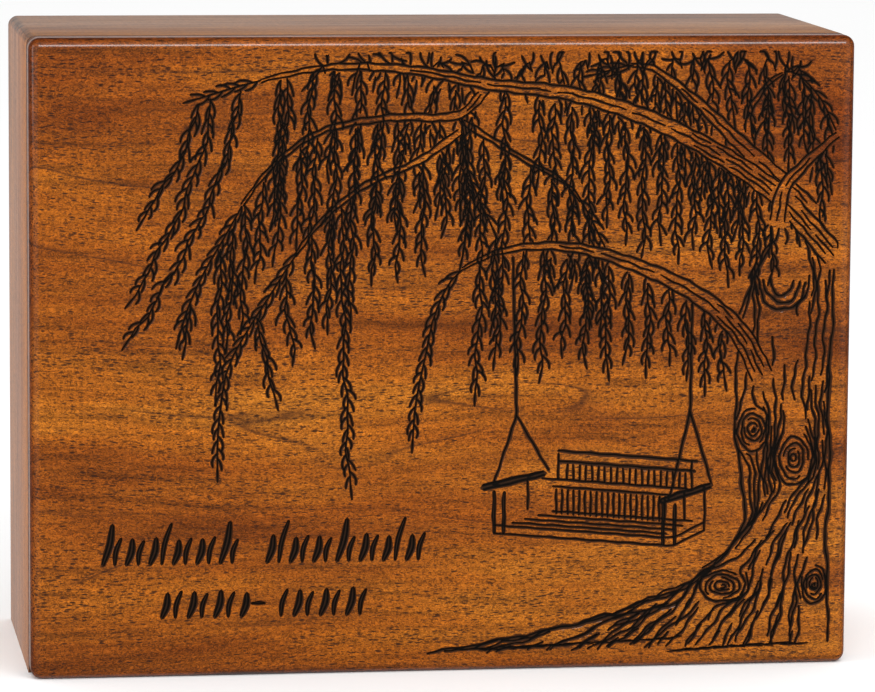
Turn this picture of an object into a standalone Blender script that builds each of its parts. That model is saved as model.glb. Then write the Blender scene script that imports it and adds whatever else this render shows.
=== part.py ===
"""A cremation urn box of oiled hardwood with a weeping willow and a garden swing carved in its front.

The box stands on the plane z = 0 with its middle at the origin. The carved front faces -Y.
All sizes are metres, except the drawing, which has its own grid (see DRAWING_WIDTH).
"""

import math

import bmesh
import bpy
from mathutils import Matrix, Vector

# Overall size of the box
WIDTH = 0.254
HEIGHT = 0.196
DEPTH = 0.102

# Boards
FRONT_THICKNESS = 0.012
WALL_THICKNESS = 0.012
TOP_THICKNESS = 0.012
BACK_THICKNESS = 0.010
BASE_THICKNESS = 0.006
BASE_RECESS = 0.001
REBATE_WIDTH = 0.006
EDGE_RADIUS = 0.0034
CASE_RADIUS = 0.0030
EDGE_SEGMENTS = 3
GAP = 0.0003

# Screws that hold the base board
SCREW_HEAD_RADIUS = 0.0027
SCREW_SHANK_RADIUS = 0.0014
SCREW_TIP_RADIUS = 0.0006
SCREW_LENGTH = 0.016
SCREW_TIP_LENGTH = 0.003
SCREW_EDGE_DISTANCE = 0.014
SCREW_SLOT_WIDTH = 0.0008
SCREW_SLOT_DEPTH = 0.0007
SCREW_SIDES = 10
HOLE_CLEARANCE = 0.0003

# Carving: cutters with four sides, their middle a little in front of the wood
LINE_RADIUS = 0.00062
HEAVY_RADIUS = 0.0008
LEAF_RADIUS = 0.0008
LETTERING_RADIUS = 0.0010
CUTTER_LIFT = 0.00009

# The drawing is laid out on a grid of millimetres, from the lower left corner of a face of this size,
# and stretched to the real face
DRAWING_WIDTH = 254.0
DRAWING_HEIGHT = 196.0

# Boughs of the willow: points from the root outwards, then half the width at the root and at the tip
BOUGHS = {
    "crown": ([(248, 128), (240, 137), (229, 148), (211, 160), (189, 171), (165, 178.5), (140, 181.5),
               (116, 186), (92, 187), (70, 183), (49, 177)], 3.4, 0.5),
    "shoulder": ([(139, 180), (130, 172), (110, 171.5), (90, 168), (77, 160), (67, 149), (60, 137),
                  (53, 125), (48, 114), (45, 104)], 1.3, 0.35),
    "reach": ([(131, 167), (118, 158), (104, 152), (94, 145), (86, 137), (79, 127), (72, 116),
               (65, 105), (60, 95), (58, 84), (57, 73), (57, 63)], 1.1, 0.35),
    "upper": ([(240, 142), (229, 153), (217, 164), (203, 177), (188, 187), (171, 184)], 3.2, 0.5),
    "right": ([(229, 141), (231, 150), (239, 157), (248, 166)], 1.8, 0.7),
    "fork": ([(222, 158), (221, 173), (232, 185), (242, 178), (248, 167)], 1.1, 0.4),
    "inner": ([(131, 170), (134, 154), (142, 136)], 0.8, 0.3),
    "middle": ([(132, 170), (150, 159), (166, 149), (177, 130)], 0.9, 0.3),
    "lower": ([(226, 91), (219, 104), (207, 115), (190, 124), (168, 131), (147, 131), (131, 124),
               (124, 112), (121, 99), (118, 84), (117, 71)], 3.4, 0.4),
}

# Hanging strands: bough, share along it of the first and last, how many, then for the first and the
# last how far each hangs and how far its end swings to the left
CURTAINS = [
    ("crown", 0.14, 0.48, 9, 30, 40, 0, 0),
    ("crown", 0.52, 0.86, 8, 24, 36, 0, 3),
    ("crown", 0.93, 0.94, 1, 80, 80, 30, 30),
    ("crown", 0.97, 0.99, 2, 56, 36, 22, 14),
    ("shoulder", 0.08, 0.42, 6, 26, 34, 0, 2),
    ("shoulder", 0.46, 0.70, 3, 26, 38, 1, 2),
    ("shoulder", 0.76, 0.90, 2, 40, 14, 1, 3),
    ("reach", 0.06, 0.34, 5, 28, 36, 0, 1),
    ("reach", 0.31, 0.32, 1, 78, 78, -3, -3),
    ("reach", 0.42, 0.62, 2, 32, 24, 0, -6),
    ("upper", 0.40, 0.98, 5, 28, 22, 0, 0),
    ("right", 0.50, 0.90, 2, 20, 30, -1, -1),
    ("fork", 0.28, 0.95, 5, 26, 26, 0, -1),
    ("middle", 0.20, 0.92, 4, 34, 26, 1, -1),
    ("lower", 0.18, 0.62, 7, 22, 40, -1, 2),
]
STRAND_SPREAD = 0.30
STRAND_STEPS = 6
STRAND_SWAY = 0.9
STRAND_WAVES = 1.3
SWING_POWER = 1.6
LEAF_PITCH = 5.5
LEAF_LENGTH = 6.2
LEAF_SPREAD = math.radians(26)
LEAF_TURN = 0.35
LEAF_END = 0.3
STRAND_TOP = 1.9
CURVE_STEPS = 6

# Trunk: outlines from the boughs down to the ground, and the grain lines between them
TRUNK_LEFT = [(229, 142), (228, 132), (223, 121), (218.5, 109), (218, 90), (218, 72), (220.5, 56),
              (220.5, 43), (213, 33), (204.5, 26), (199, 19.5), (184, 17), (166, 13.5), (145, 9.5), (122, 6)]
TRUNK_RIGHT = [(235, 140), (242, 134), (247.5, 126), (248, 108), (247, 84), (248, 60), (247, 40),
               (248, 22), (248, 7)]
BARK_LINE_COUNT = 7
BARK_BREAK_COUNT = 3
BARK_STEPS = 3
BARK_OPENING = 0.06
BARK_STAGGER = 0.3
BARK_WAVE = 0.7
BARK_WAVES = 2.5
KNOTS = [(223.5, 74, 4.0, 5.4), (236.5, 63, 4.4, 6.4), (214.5, 25, 5.8, 3.9), (243.5, 25, 3.2, 5.0)]
KNOT_REACH = 1.35
KNOT_SIDES = 8
EYE_SIDES = 5
EYE_SHARE = 0.4
OUTLINE_STEPS = 4

# Swing: a slatted bench seen a little from its left, hung from the lower bough. Its rear edge is
# drawn shifted by SWING_BACK, and heights are counted from its feet. A rail, post or arm says which
# shares of the bench's length it covers, and between which heights.
SWING_LEFT = 142.5
SWING_RIGHT = 198.0
SWING_FOOT = 43.0
SWING_SLOPE = -0.09
SWING_BACK = Vector((10.5, 5.8))
SEAT_TOP = 2.5
SEAT_BOARDS = (0.34, 0.68, 1.0)
ARM_HEIGHT = 14.0
ARM_THICKNESS = 1.8
ARMS = ((-0.06, 0.09), (0.95, 1.03))
POST_FOOT = 0.6
FRONT_POSTS = (0.0, 0.055, 0.955, 1.02)
REAR_POSTS = ((1.0, 0.6, 13.5), (0.0, 3.0, 12.0), (0.17, 13.0, 20.5), (0.925, 13.0, 21.0))
BACK_RAILS = ((0.17, 0.955, 21.4), (0.18, 0.94, 18.2), (0.08, 0.90, 12.5), (0.14, 0.80, 10.2))
SLAT_SETS = ((0.22, 0.89, 8, 13.2, 17.4), (0.17, 0.775, 8, 3.0, 9.4))
ROPES = ((-0.005, 0.115, 149.3, 79.5, -1.6, 49.0), (0.99, 1.035, 203.6, 80.0, 0.2, 36.0))
ROPE_FOOT = 1.4
SEAT_END = 0.93
SEAT_SKEW = 0.1

# Inscription: two rows of slanting strokes that spell nothing. A row has its left end, right end, foot,
# height, number of strokes, how often one is tall, and the strokes left out for a gap.
ROWS = [(22.0, 119.0, 35.3, 8.2, 28, 5, (12, 13)), (40.0, 101.0, 18.6, 8.2, 16, 0, (7, 8))]
TALL_FACTOR = 1.65
STROKE_SLANT = 0.24
STROKE_BOW = 0.6
STROKE_SHORTEST = 0.86
DASH = [(67.6, 22.6), (69.6, 22.7), (71.6, 22.6)]
GOLDEN = 0.618034


def share(index, shift=0.0):
    """An even, unrepeating spread of numbers from 0 to 1."""
    return (index * GOLDEN + shift) % 1.0


def mix(first, last, amount):
    return first + (last - first) * amount


def smooth_line(points, steps):
    """A curve through the points, as a list with the given number of steps between two points."""
    pts = [Vector(p).to_2d() for p in points]
    pts = [pts[0] * 2 - pts[1]] + pts + [pts[-1] * 2 - pts[-2]]
    line = []
    for a, b, c, d in zip(pts, pts[1:], pts[2:], pts[3:]):
        for step in range(steps):
            t = step / steps
            line.append(0.5 * (2 * b + (c - a) * t + (2 * a - 5 * b + 4 * c - d) * t ** 2
                               + (3 * b - a - 3 * c + d) * t ** 3))
    return line + [pts[-2]]


def along(line, amount):
    """The point and the direction at a share of the line's length."""
    lengths = [(b - a).length for a, b in zip(line, line[1:])]
    rest = max(0.0, min(1.0, amount)) * sum(lengths)
    for a, b, length in zip(line, line[1:], lengths):
        if rest <= length:
            return a + (b - a) * (rest / length), (b - a).normalized()
        rest -= length
    return line[-1], (line[-1] - line[-2]).normalized()


def beside(direction):
    return Vector((-direction.y, direction.x))


def bough_lines(points, root_half, tip_half, count):
    """The two edges of a bough, which draw together towards its tip."""
    line = smooth_line(points, CURVE_STEPS)
    edges = []
    for side in (-1, 1):
        edge = []
        for i in range(count + 1):
            spot, direction = along(line, i / count)
            edge.append(spot + beside(direction) * side * mix(root_half, tip_half, i / count))
        edges.append(edge)
    return edges


def strand_line(start, drop, swing, index):
    """The middle line of one hanging strand, which swings out and then falls."""
    points = []
    for i in range(STRAND_STEPS + 1):
        t = i / STRAND_STEPS
        sway = STRAND_SWAY * math.sin(math.tau * (STRAND_WAVES * t + share(index, 0.4))) * t
        points.append(Vector((start.x - swing * t ** SWING_POWER + sway, start.y - drop * t)))
    return points


def strands():
    """The middle lines of all hanging strands."""
    lines = []
    for name, first, last, count, drop_a, drop_b, swing_a, swing_b in CURTAINS:
        bough = smooth_line(BOUGHS[name][0], CURVE_STEPS)
        for i in range(count):
            amount = i / max(1, count - 1)
            start = along(bough, mix(first, last, amount))[0] - Vector((0, STRAND_TOP))
            drop = mix(drop_a, drop_b, amount) * (1 + STRAND_SPREAD * (share(len(lines)) - 0.5))
            lines.append(strand_line(start, drop, mix(swing_a, swing_b, amount), len(lines)))
    return lines


def leaf(start, direction, side):
    """One leaf as a bowed stroke that leaves its strand and turns back towards it."""
    out = direction.copy()
    out.rotate(Matrix.Rotation(side * LEAF_SPREAD, 2))
    middle = start + out * LEAF_LENGTH * 0.5
    back = direction.copy()
    back.rotate(Matrix.Rotation(side * LEAF_SPREAD * LEAF_TURN, 2))
    return [start + out * LEAF_END, middle, middle + back * LEAF_LENGTH * 0.5]


def strand_leaves(line):
    """The leaves of one strand, left and right in turn, and the last one along its tip."""
    total = sum((b - a).length for a, b in zip(line, line[1:]))
    count = max(2, round((total - LEAF_LENGTH) / LEAF_PITCH))
    leaves = []
    for i in range(count):
        spot, direction = along(line, i / count * (1 - LEAF_LENGTH / total))
        leaves.append(leaf(spot, direction, 1 if i % 2 else -1))
    spot, direction = along(line, 1 - LEAF_LENGTH / total)
    leaves.append([spot + direction * reach for reach in (LEAF_END, LEAF_LENGTH / 2, LEAF_LENGTH)])
    return leaves


def around_knots(point):
    """Pushes a point of the bark out of the knots, so that the grain flows round them."""
    moved = point.copy()
    for x, y, half_x, half_y in KNOTS:
        wide, high = half_x * KNOT_REACH, half_y * KNOT_REACH
        offset = Vector(((moved.x - x) / wide, (moved.y - y) / high))
        if offset.length > 0.01:
            offset *= (offset.length ** 3 + 1) ** (1 / 3) / offset.length
            moved = Vector((x + offset.x * wide, y + offset.y * high))
    return moved


def bark_lines():
    """Broken grain lines that run down the trunk and spread into the roots."""
    left = smooth_line(TRUNK_LEFT, OUTLINE_STEPS)
    right = smooth_line(TRUNK_RIGHT, OUTLINE_STEPS)
    lines = []
    for i in range(BARK_LINE_COUNT):
        across = (i + 1) / (BARK_LINE_COUNT + 1)
        for piece in range(BARK_BREAK_COUNT):
            shift = BARK_OPENING + BARK_STAGGER * share(i * BARK_BREAK_COUNT + piece)
            first = (piece + shift) / BARK_BREAK_COUNT
            last = (piece + 1 - BARK_OPENING) / BARK_BREAK_COUNT
            line = []
            for step in range(BARK_STEPS + 1):
                t = mix(first, last, step / BARK_STEPS)
                spot = along(left, t)[0].lerp(along(right, t)[0], across)
                spot.x += BARK_WAVE * math.sin(math.tau * (BARK_WAVES * t + share(i, 0.2)))
                line.append(around_knots(spot))
            lines.append(line)
    return lines


def ring(x, y, half_x, half_y, sides):
    """The corners of an oval."""
    turns = [math.tau * i / sides for i in range(sides)]
    return [Vector((x + half_x * math.cos(turn), y + half_y * math.sin(turn))) for turn in turns]


def bench(across, up, back=0.0):
    """A point of the bench: a share of its length, a height above its feet, a share of its depth."""
    x = mix(SWING_LEFT, SWING_RIGHT, across) + SWING_BACK.x * back
    return Vector((x, SWING_FOOT + SWING_SLOPE * (x - SWING_LEFT) + SWING_BACK.y * back + up))


def swing_lines():
    """The rails, boards, posts, slats, arms and ropes of the bench."""
    lines = [[bench(0, up), bench(1, up), bench(1, up, 1)] for up in (0.0, SEAT_TOP)]
    lines += [[bench(SEAT_SKEW * back, SEAT_TOP, back), bench(SEAT_END, SEAT_TOP, back)]
              for back in SEAT_BOARDS]
    lines += [[bench(first, up, 1), bench(last, up, 1)] for first, last, up in BACK_RAILS]
    post_top = ARM_HEIGHT - ARM_THICKNESS
    lines += [[bench(across, POST_FOOT), bench(across, post_top)] for across in FRONT_POSTS]
    lines += [[bench(across, low, 1), bench(across, high, 1)] for across, low, high in REAR_POSTS]
    for first, last, count, low, high in SLAT_SETS:
        shares = [mix(first, last, i / (count - 1)) for i in range(count)]
        lines += [[bench(across, low, 1), bench(across, high, 1)] for across in shares]
    for front, rear in ARMS:
        for up in (ARM_HEIGHT, ARM_HEIGHT - ARM_THICKNESS):
            lines.append([bench(front, up), bench(rear, up, 1)])
    for front, rear, knot_x, knot_y, lean, rope in ROPES:
        knot = Vector((knot_x, knot_y))
        lines.append([bench(front, ARM_HEIGHT + ROPE_FOOT), knot, knot + Vector((lean, rope))])
        lines.append([bench(rear, ARM_HEIGHT + ROPE_FOOT, 1), knot])
    return lines


def inscription_strokes():
    """Two rows of slanting strokes, the upper one with a tall stroke now and then, and a dash."""
    strokes = [[Vector(spot) for spot in DASH]]
    for left, right, foot, height, count, tall_every, gap in ROWS:
        for i in (number for number in range(count) if number not in gap):
            tall = TALL_FACTOR if tall_every and i % tall_every == 0 else 1.0
            reach = height * tall * mix(STROKE_SHORTEST, 1.0, share(i, 0.3))
            low = Vector((mix(left, right, i / (count - 1)), foot))
            rise = Vector((STROKE_SLANT * reach, reach))
            bow = Vector((STROKE_BOW * (-1) ** i, 0))
            strokes.append([low, low + rise / 2 + bow, low + rise])
    return strokes


def collection(name):
    """A new collection in the scene."""
    made = bpy.data.collections.new(name)
    bpy.context.scene.collection.children.link(made)
    return made


def finish_material(name, color, roughness, metallic=0.0):
    material = bpy.data.materials.new(name)
    material.use_nodes = True
    shader = material.node_tree.nodes["Principled BSDF"]
    shader.inputs["Base Color"].default_value = (*color, 1.0)
    shader.inputs["Roughness"].default_value = roughness
    shader.inputs["Metallic"].default_value = metallic
    return material


def new_object(name, bm, group, material=None):
    mesh = bpy.data.meshes.new(name)
    bm.to_mesh(mesh)
    bm.free()
    made = bpy.data.objects.new(name, mesh)
    group.objects.link(made)
    if material:
        mesh.materials.append(material)
    return made


def box(low, high):
    """A bmesh box between two corners."""
    bm = bmesh.new()
    low, high = Vector(low), Vector(high)
    size = Matrix.Diagonal((high - low).to_4d())
    bmesh.ops.create_cube(bm, size=1.0, matrix=Matrix.Translation((low + high) / 2) @ size)
    return bm


def round_edges(bm, radius, chosen):
    edges = [edge for edge in bm.edges if chosen(edge)]
    bmesh.ops.bevel(bm, geom=edges, offset=radius, offset_type="OFFSET", segments=EDGE_SEGMENTS,
                    profile=0.5, affect="EDGES", clamp_overlap=True, material=-1)


def keep_side(bm, point, normal):
    """Cuts a convex shape with a plane, keeps the side that the normal points to and closes it."""
    geometry = bm.verts[:] + bm.edges[:] + bm.faces[:]
    cut = bmesh.ops.bisect_plane(bm, geom=geometry, plane_co=point, plane_no=normal, clear_inner=True)
    rim = [item for item in cut["geom_cut"] if isinstance(item, bmesh.types.BMEdge)]
    bmesh.ops.contextual_create(bm, geom=rim)


def make_cutter(piece):
    piece.display_type = "WIRE"
    piece.hide_render = True


def cut(piece, cutter):
    """Takes the cutter, an object or a collection, out of the piece."""
    boolean = piece.modifiers.new("Cut", "BOOLEAN")
    boolean.operation = "DIFFERENCE"
    boolean.solver = "EXACT"
    if isinstance(cutter, bpy.types.Collection):
        boolean.operand_type = "COLLECTION"
        boolean.collection = cutter
    else:
        boolean.object = cutter


def stroke_curve(name, strokes, radius, group, tapered=False, closed=False):
    """A cutter for strokes on the front face: one four-sided tube for each stroke."""
    curve = bpy.data.curves.new(name, "CURVE")
    curve.dimensions = "3D"
    curve.bevel_depth = radius
    curve.bevel_resolution = 0
    curve.use_fill_caps = True
    for stroke in strokes:
        spline = curve.splines.new("POLY")
        spline.points.add(len(stroke) - 1)
        spline.use_cyclic_u = closed
        for i, (point, spot) in enumerate(zip(spline.points, stroke)):
            point.co = (spot.x / DRAWING_WIDTH * WIDTH, spot.y / DRAWING_HEIGHT * HEIGHT, 0, 1)
            if tapered:
                point.radius = math.sin(math.pi * i / (len(stroke) - 1))
    made = bpy.data.objects.new(name, curve)
    made.matrix_world = front_matrix()
    group.objects.link(made)
    return curve_to_mesh(made, group)


def front_matrix():
    """The place of the drawing: its X along the width, its Y up, and its Z out of the wood."""
    place = Matrix.Translation((-WIDTH / 2, -DEPTH / 2 - CUTTER_LIFT, 0))
    return place @ Matrix.Rotation(math.pi / 2, 4, "X")


def curve_to_mesh(curve_object, group):
    """Turns a curve into a closed mesh that a Boolean can use."""
    graph = bpy.context.evaluated_depsgraph_get()
    mesh = bpy.data.meshes.new_from_object(curve_object.evaluated_get(graph))
    bm = bmesh.new()
    bm.from_mesh(mesh)
    bmesh.ops.remove_doubles(bm, verts=bm.verts, dist=1e-6)
    bmesh.ops.recalc_face_normals(bm, faces=bm.faces)
    bm.to_mesh(mesh)
    bm.free()
    made = bpy.data.objects.new(curve_object.name + "_cutter", mesh)
    made.matrix_world = curve_object.matrix_world.copy()
    group.objects.link(made)
    bpy.data.objects.remove(curve_object)
    make_cutter(made)
    return made


def carving_cutters(group):
    """All that is cut into the front: boughs, leaves, trunk, swing and inscription."""
    for name, (points, root_half, tip_half) in BOUGHS.items():
        for i, edge in enumerate(bough_lines(points, root_half, tip_half, len(points) - 1)):
            stroke_curve(f"bough_{name}_{i}", [edge], LINE_RADIUS, group)
    for i, line in enumerate(strands()):
        leaves = strand_leaves(line)
        stroke_curve(f"leaves_{i}_left", leaves[0::2], LEAF_RADIUS, group, tapered=True)
        stroke_curve(f"leaves_{i}_right", leaves[1::2], LEAF_RADIUS, group, tapered=True)
    for i, outline in enumerate((TRUNK_LEFT, TRUNK_RIGHT)):
        stroke_curve(f"trunk_{i}", [[Vector(spot) for spot in outline]], HEAVY_RADIUS, group)
    for i, line in enumerate(bark_lines()):
        stroke_curve(f"bark_{i}", [line], LINE_RADIUS, group)
    for i, (x, y, half_x, half_y) in enumerate(KNOTS):
        stroke_curve(f"knot_{i}", [ring(x, y, half_x, half_y, KNOT_SIDES)], LINE_RADIUS, group, closed=True)
        eye = ring(x, y, half_x * EYE_SHARE, half_y * EYE_SHARE, EYE_SIDES)
        stroke_curve(f"knot_eye_{i}", [eye], LINE_RADIUS, group, closed=True)
    for i, line in enumerate(swing_lines()):
        stroke_curve(f"swing_{i}", [line], LINE_RADIUS, group)
    for i, stroke in enumerate(inscription_strokes()):
        stroke_curve(f"stroke_{i}", [stroke], LETTERING_RADIUS, group, tapered=True)


def front_panel(parts, cutters, wood):
    """The carved board: its front edges are rounded over, and it hides the boards behind."""
    front, back = -DEPTH / 2, -DEPTH / 2 + FRONT_THICKNESS
    bm = box((-WIDTH / 2, front, 0), (WIDTH / 2, back, HEIGHT))
    round_edges(bm, EDGE_RADIUS,
                lambda edge: not all(math.isclose(v.co.y, back, abs_tol=1e-6) for v in edge.verts))
    board = new_object("front_panel", bm, parts, wood)
    carving_cutters(cutters)
    cut(board, cutters)
    return board


def body_block():
    """The outside of the carcass behind the front board, with its two top edges rounded."""
    front = -DEPTH / 2 + FRONT_THICKNESS + GAP
    bm = box((-WIDTH / 2, front, 0), (WIDTH / 2, DEPTH / 2, HEIGHT))
    round_edges(bm, CASE_RADIUS,
                lambda edge: all(v.co.z > HEIGHT / 2 and abs(v.co.x) > WIDTH / 4 for v in edge.verts)
                and abs((edge.verts[0].co - edge.verts[1].co).y) > DEPTH / 4)
    return bm


def top_board(parts, wood):
    bm = body_block()
    keep_side(bm, (0, 0, HEIGHT - TOP_THICKNESS), (0, 0, 1))
    for side in (-1, 1):
        keep_side(bm, (side * (WIDTH / 2 - GAP), 0, HEIGHT), mitre_normal(-side))
    return new_object("top_board", bm, parts, wood)


def mitre_normal(side):
    """Across the mitre plane, which joins the inner corner of two boards to their outer one."""
    return Vector((side * TOP_THICKNESS, 0, WALL_THICKNESS))


def side_wall(name, side, parts, wood):
    """A wall with its mitre above and the rebate for the base board below."""
    bm = body_block()
    keep_side(bm, (side * (WIDTH / 2 - WALL_THICKNESS), 0, 0), (side, 0, 0))
    keep_side(bm, (side * WIDTH / 2, 0, HEIGHT - GAP), -mitre_normal(-side))
    return new_object(name, bm, parts, wood)


def back_panel(parts, wood):
    half = WIDTH / 2 - WALL_THICKNESS - GAP
    bm = box((-half, DEPTH / 2 - BACK_THICKNESS, 0), (half, DEPTH / 2, HEIGHT - TOP_THICKNESS - GAP))
    return new_object("back_panel", bm, parts, wood)


def base_corners(clearance):
    """Two corners of the base board, or of the room for it."""
    half = WIDTH / 2 - WALL_THICKNESS + REBATE_WIDTH - GAP + clearance
    low = (-half, -DEPTH / 2 + FRONT_THICKNESS + GAP - clearance, BASE_RECESS - clearance)
    high = (half, DEPTH / 2 - BACK_THICKNESS - GAP + clearance, BASE_RECESS + BASE_THICKNESS + clearance)
    return low, high


def base_board(parts, wood):
    return new_object("base_board", box(*base_corners(0.0)), parts, wood)


def screw_places():
    """The middle of each screw's head, on the lower face of the base board."""
    x = WIDTH / 2 - WALL_THICKNESS + REBATE_WIDTH / 2
    low, high = base_corners(0.0)
    for side in (-1, 1):
        for y in (low[1] + SCREW_EDGE_DISTANCE, high[1] - SCREW_EDGE_DISTANCE):
            yield Vector((side * x, y, BASE_RECESS))


def turned(profile, place):
    """A closed turned shape about a vertical axis: pairs of radius and height, from below upwards."""
    bm = bmesh.new()
    rims = []
    for radius, height in profile:
        level = Matrix.Translation((0, 0, height))
        rim = bmesh.ops.create_circle(bm, cap_ends=False, radius=radius, segments=SCREW_SIDES, matrix=level)
        rims.append(list({edge for vert in rim["verts"] for edge in vert.link_edges}))
    for lower, upper in zip(rims, rims[1:]):
        bmesh.ops.bridge_loops(bm, edges=lower + upper)
    bmesh.ops.contextual_create(bm, geom=rims[0])
    bmesh.ops.contextual_create(bm, geom=rims[-1])
    bmesh.ops.recalc_face_normals(bm, faces=bm.faces)
    bmesh.ops.translate(bm, verts=bm.verts, vec=place)
    return bm


def screw_profile(extra):
    """Radius and height of a countersunk screw, its head down, grown by the extra all round."""
    head, shank, tip = (r + extra for r in (SCREW_HEAD_RADIUS, SCREW_SHANK_RADIUS, SCREW_TIP_RADIUS))
    countersink = head - shank
    length = SCREW_LENGTH + extra
    return [(head, 0), (shank, countersink), (shank, length - SCREW_TIP_LENGTH), (tip, length)]


def base_screw(number, place, parts, cutters, brass):
    screw = new_object(f"base_screw_{number}", turned(screw_profile(0.0), place), parts, brass)
    half = SCREW_SLOT_WIDTH / 2
    reach = SCREW_HEAD_RADIUS + SCREW_SLOT_WIDTH
    corner = Vector((half, reach, SCREW_SLOT_DEPTH))
    slot = box(place - corner, place + corner)
    cutter = new_object(f"screw_slot_{number}", slot, cutters)
    make_cutter(cutter)
    cut(screw, cutter)
    return screw


def screw_hole(number, place, cutters):
    """The room for a screw in the base board and in the wall above it, open below the head."""
    profile = screw_profile(HOLE_CLEARANCE)
    head = profile[0][0]
    hole = new_object(f"screw_hole_{number}", turned([(head, -BASE_RECESS * 2)] + profile, place), cutters)
    make_cutter(hole)
    return hole


def build():
    for old in list(bpy.data.objects):
        bpy.data.objects.remove(old)
    parts = collection("urn_box")
    carving = collection("carving_cutters")
    joinery = collection("joinery_cutters")
    slots = collection("slot_cutters")
    face_wood = finish_material("face_wood", (0.40, 0.15, 0.035), 0.35)
    case_wood = finish_material("case_wood", (0.34, 0.19, 0.10), 0.45)
    brass = finish_material("screw_brass", (0.72, 0.52, 0.22), 0.3, 1.0)

    front_panel(parts, carving, face_wood)
    top_board(parts, case_wood)
    walls = [side_wall("left_side", -1, parts, case_wood), side_wall("right_side", 1, parts, case_wood)]
    back_panel(parts, case_wood)
    base = base_board(parts, case_wood)

    low, high = base_corners(GAP)
    rebate = new_object("rebate", box((low[0], -DEPTH, -BASE_RECESS), high), joinery)
    make_cutter(rebate)
    for wall in walls:
        cut(wall, rebate)
    for number, place in enumerate(screw_places(), start=1):
        base_screw(number, place, parts, slots, brass)
        hole = screw_hole(number, place, joinery)
        cut(base, hole)
        cut(walls[0] if place.x < 0 else walls[1], hole)


build()
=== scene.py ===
# %% [markdown]
# A cremation urn box stands upright on a white table: a hardwood box with a weeping willow and a
# garden swing burnt into its front board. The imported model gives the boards' places and sizes. This
# script loads it first, so that every board made here fits the real one, and nothing is measured twice.

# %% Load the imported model
import math

import bmesh
import bpy
from mathutils import Matrix, Vector
from mathutils.geometry import delaunay_2d_cdt


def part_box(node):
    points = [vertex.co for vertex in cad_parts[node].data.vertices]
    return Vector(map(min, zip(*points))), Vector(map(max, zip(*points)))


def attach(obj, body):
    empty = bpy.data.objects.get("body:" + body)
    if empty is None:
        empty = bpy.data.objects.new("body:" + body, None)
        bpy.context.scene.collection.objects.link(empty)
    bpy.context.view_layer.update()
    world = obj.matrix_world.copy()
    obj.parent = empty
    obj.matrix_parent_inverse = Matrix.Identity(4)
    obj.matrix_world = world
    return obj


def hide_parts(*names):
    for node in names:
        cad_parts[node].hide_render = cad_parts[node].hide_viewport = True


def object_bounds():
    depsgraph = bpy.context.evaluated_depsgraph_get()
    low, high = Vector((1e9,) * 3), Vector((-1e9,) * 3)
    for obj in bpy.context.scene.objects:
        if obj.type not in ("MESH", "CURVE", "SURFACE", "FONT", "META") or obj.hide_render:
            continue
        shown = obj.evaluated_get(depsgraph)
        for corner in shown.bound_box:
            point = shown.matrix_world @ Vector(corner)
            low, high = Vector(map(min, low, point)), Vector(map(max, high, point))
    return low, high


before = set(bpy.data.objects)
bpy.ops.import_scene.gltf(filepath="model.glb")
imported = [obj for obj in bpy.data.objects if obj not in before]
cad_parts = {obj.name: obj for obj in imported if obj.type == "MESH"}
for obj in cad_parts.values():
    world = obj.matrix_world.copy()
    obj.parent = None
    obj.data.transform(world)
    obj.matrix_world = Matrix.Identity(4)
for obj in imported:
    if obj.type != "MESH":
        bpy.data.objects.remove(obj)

CAD_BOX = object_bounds()
BOX_LOW, BOX_HIGH = Vector(CAD_BOX[0]), Vector(CAD_BOX[1])
WIDTH, DEPTH, HEIGHT = BOX_HIGH - BOX_LOW
print("nodes:", sorted(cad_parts))
print("box in mm:", round(WIDTH * 1000, 1), round(DEPTH * 1000, 1), round(HEIGHT * 1000, 1))

# %% [markdown]
# The photograph looks at the box from a little to its left and a little above, from far away: the
# far edges are nearly as long as the near ones. Such a view is a long lens at a good distance. The
# three angles, the distance and the lens below were fitted to the corners of the box, so the camera
# is placed by turning a plain view along +Y rather than by aiming by eye.

# %% Camera
CAMERA_AZIMUTH = math.radians(-8.37)
CAMERA_ELEVATION = math.radians(7.63)
CAMERA_ROLL = math.radians(0.397)
CAMERA_DISTANCE = 6.015 * WIDTH
CAMERA_LENS = 205.5
AIM = Vector((-0.0097 * WIDTH, BOX_LOW.y, 0.3994 * WIDTH))

back = Vector((math.sin(CAMERA_AZIMUTH) * math.cos(CAMERA_ELEVATION),
               -math.cos(CAMERA_AZIMUTH) * math.cos(CAMERA_ELEVATION), math.sin(CAMERA_ELEVATION)))
level_right = Vector((0, 0, 1)).cross(back).normalized()
level_up = back.cross(level_right)
right = level_right * math.cos(CAMERA_ROLL) + level_up * math.sin(CAMERA_ROLL)
up = level_up * math.cos(CAMERA_ROLL) - level_right * math.sin(CAMERA_ROLL)

camera_data = bpy.data.cameras.new("camera")
camera_data.lens = CAMERA_LENS
camera_data.sensor_width = 36.0
camera = bpy.data.objects.new("camera", camera_data)
turn = Matrix((right, up, back)).transposed().to_4x4()
camera.matrix_world = Matrix.Translation(AIM + back * CAMERA_DISTANCE) @ turn
bpy.context.scene.collection.objects.link(camera)
bpy.context.scene.camera = camera
print("camera at", [round(v, 3) for v in camera.location])

# %% [markdown]
# The sky and every finish below are node trees. Clicking nodes together is quick in the editor, but in
# a script a few small helpers keep a tree readable: one adds a node with its inputs, and the others
# wrap the nodes that come again and again.

# %% Node helpers
def link_value(tree, socket, value):
    """Feeds a socket from another socket, or gives it a plain value."""
    if isinstance(value, bpy.types.NodeSocket):
        tree.links.new(value, socket)
    else:
        socket.default_value = value


def add_node(tree, kind, inputs=(), **settings):
    """A new node with its settings and its inputs, which may be values or other sockets."""
    node = tree.nodes.new(kind)
    for name, value in settings.items():
        setattr(node, name, value)
    for name, value in dict(inputs).items():
        link_value(tree, node.inputs[name], value)
    return node


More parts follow.
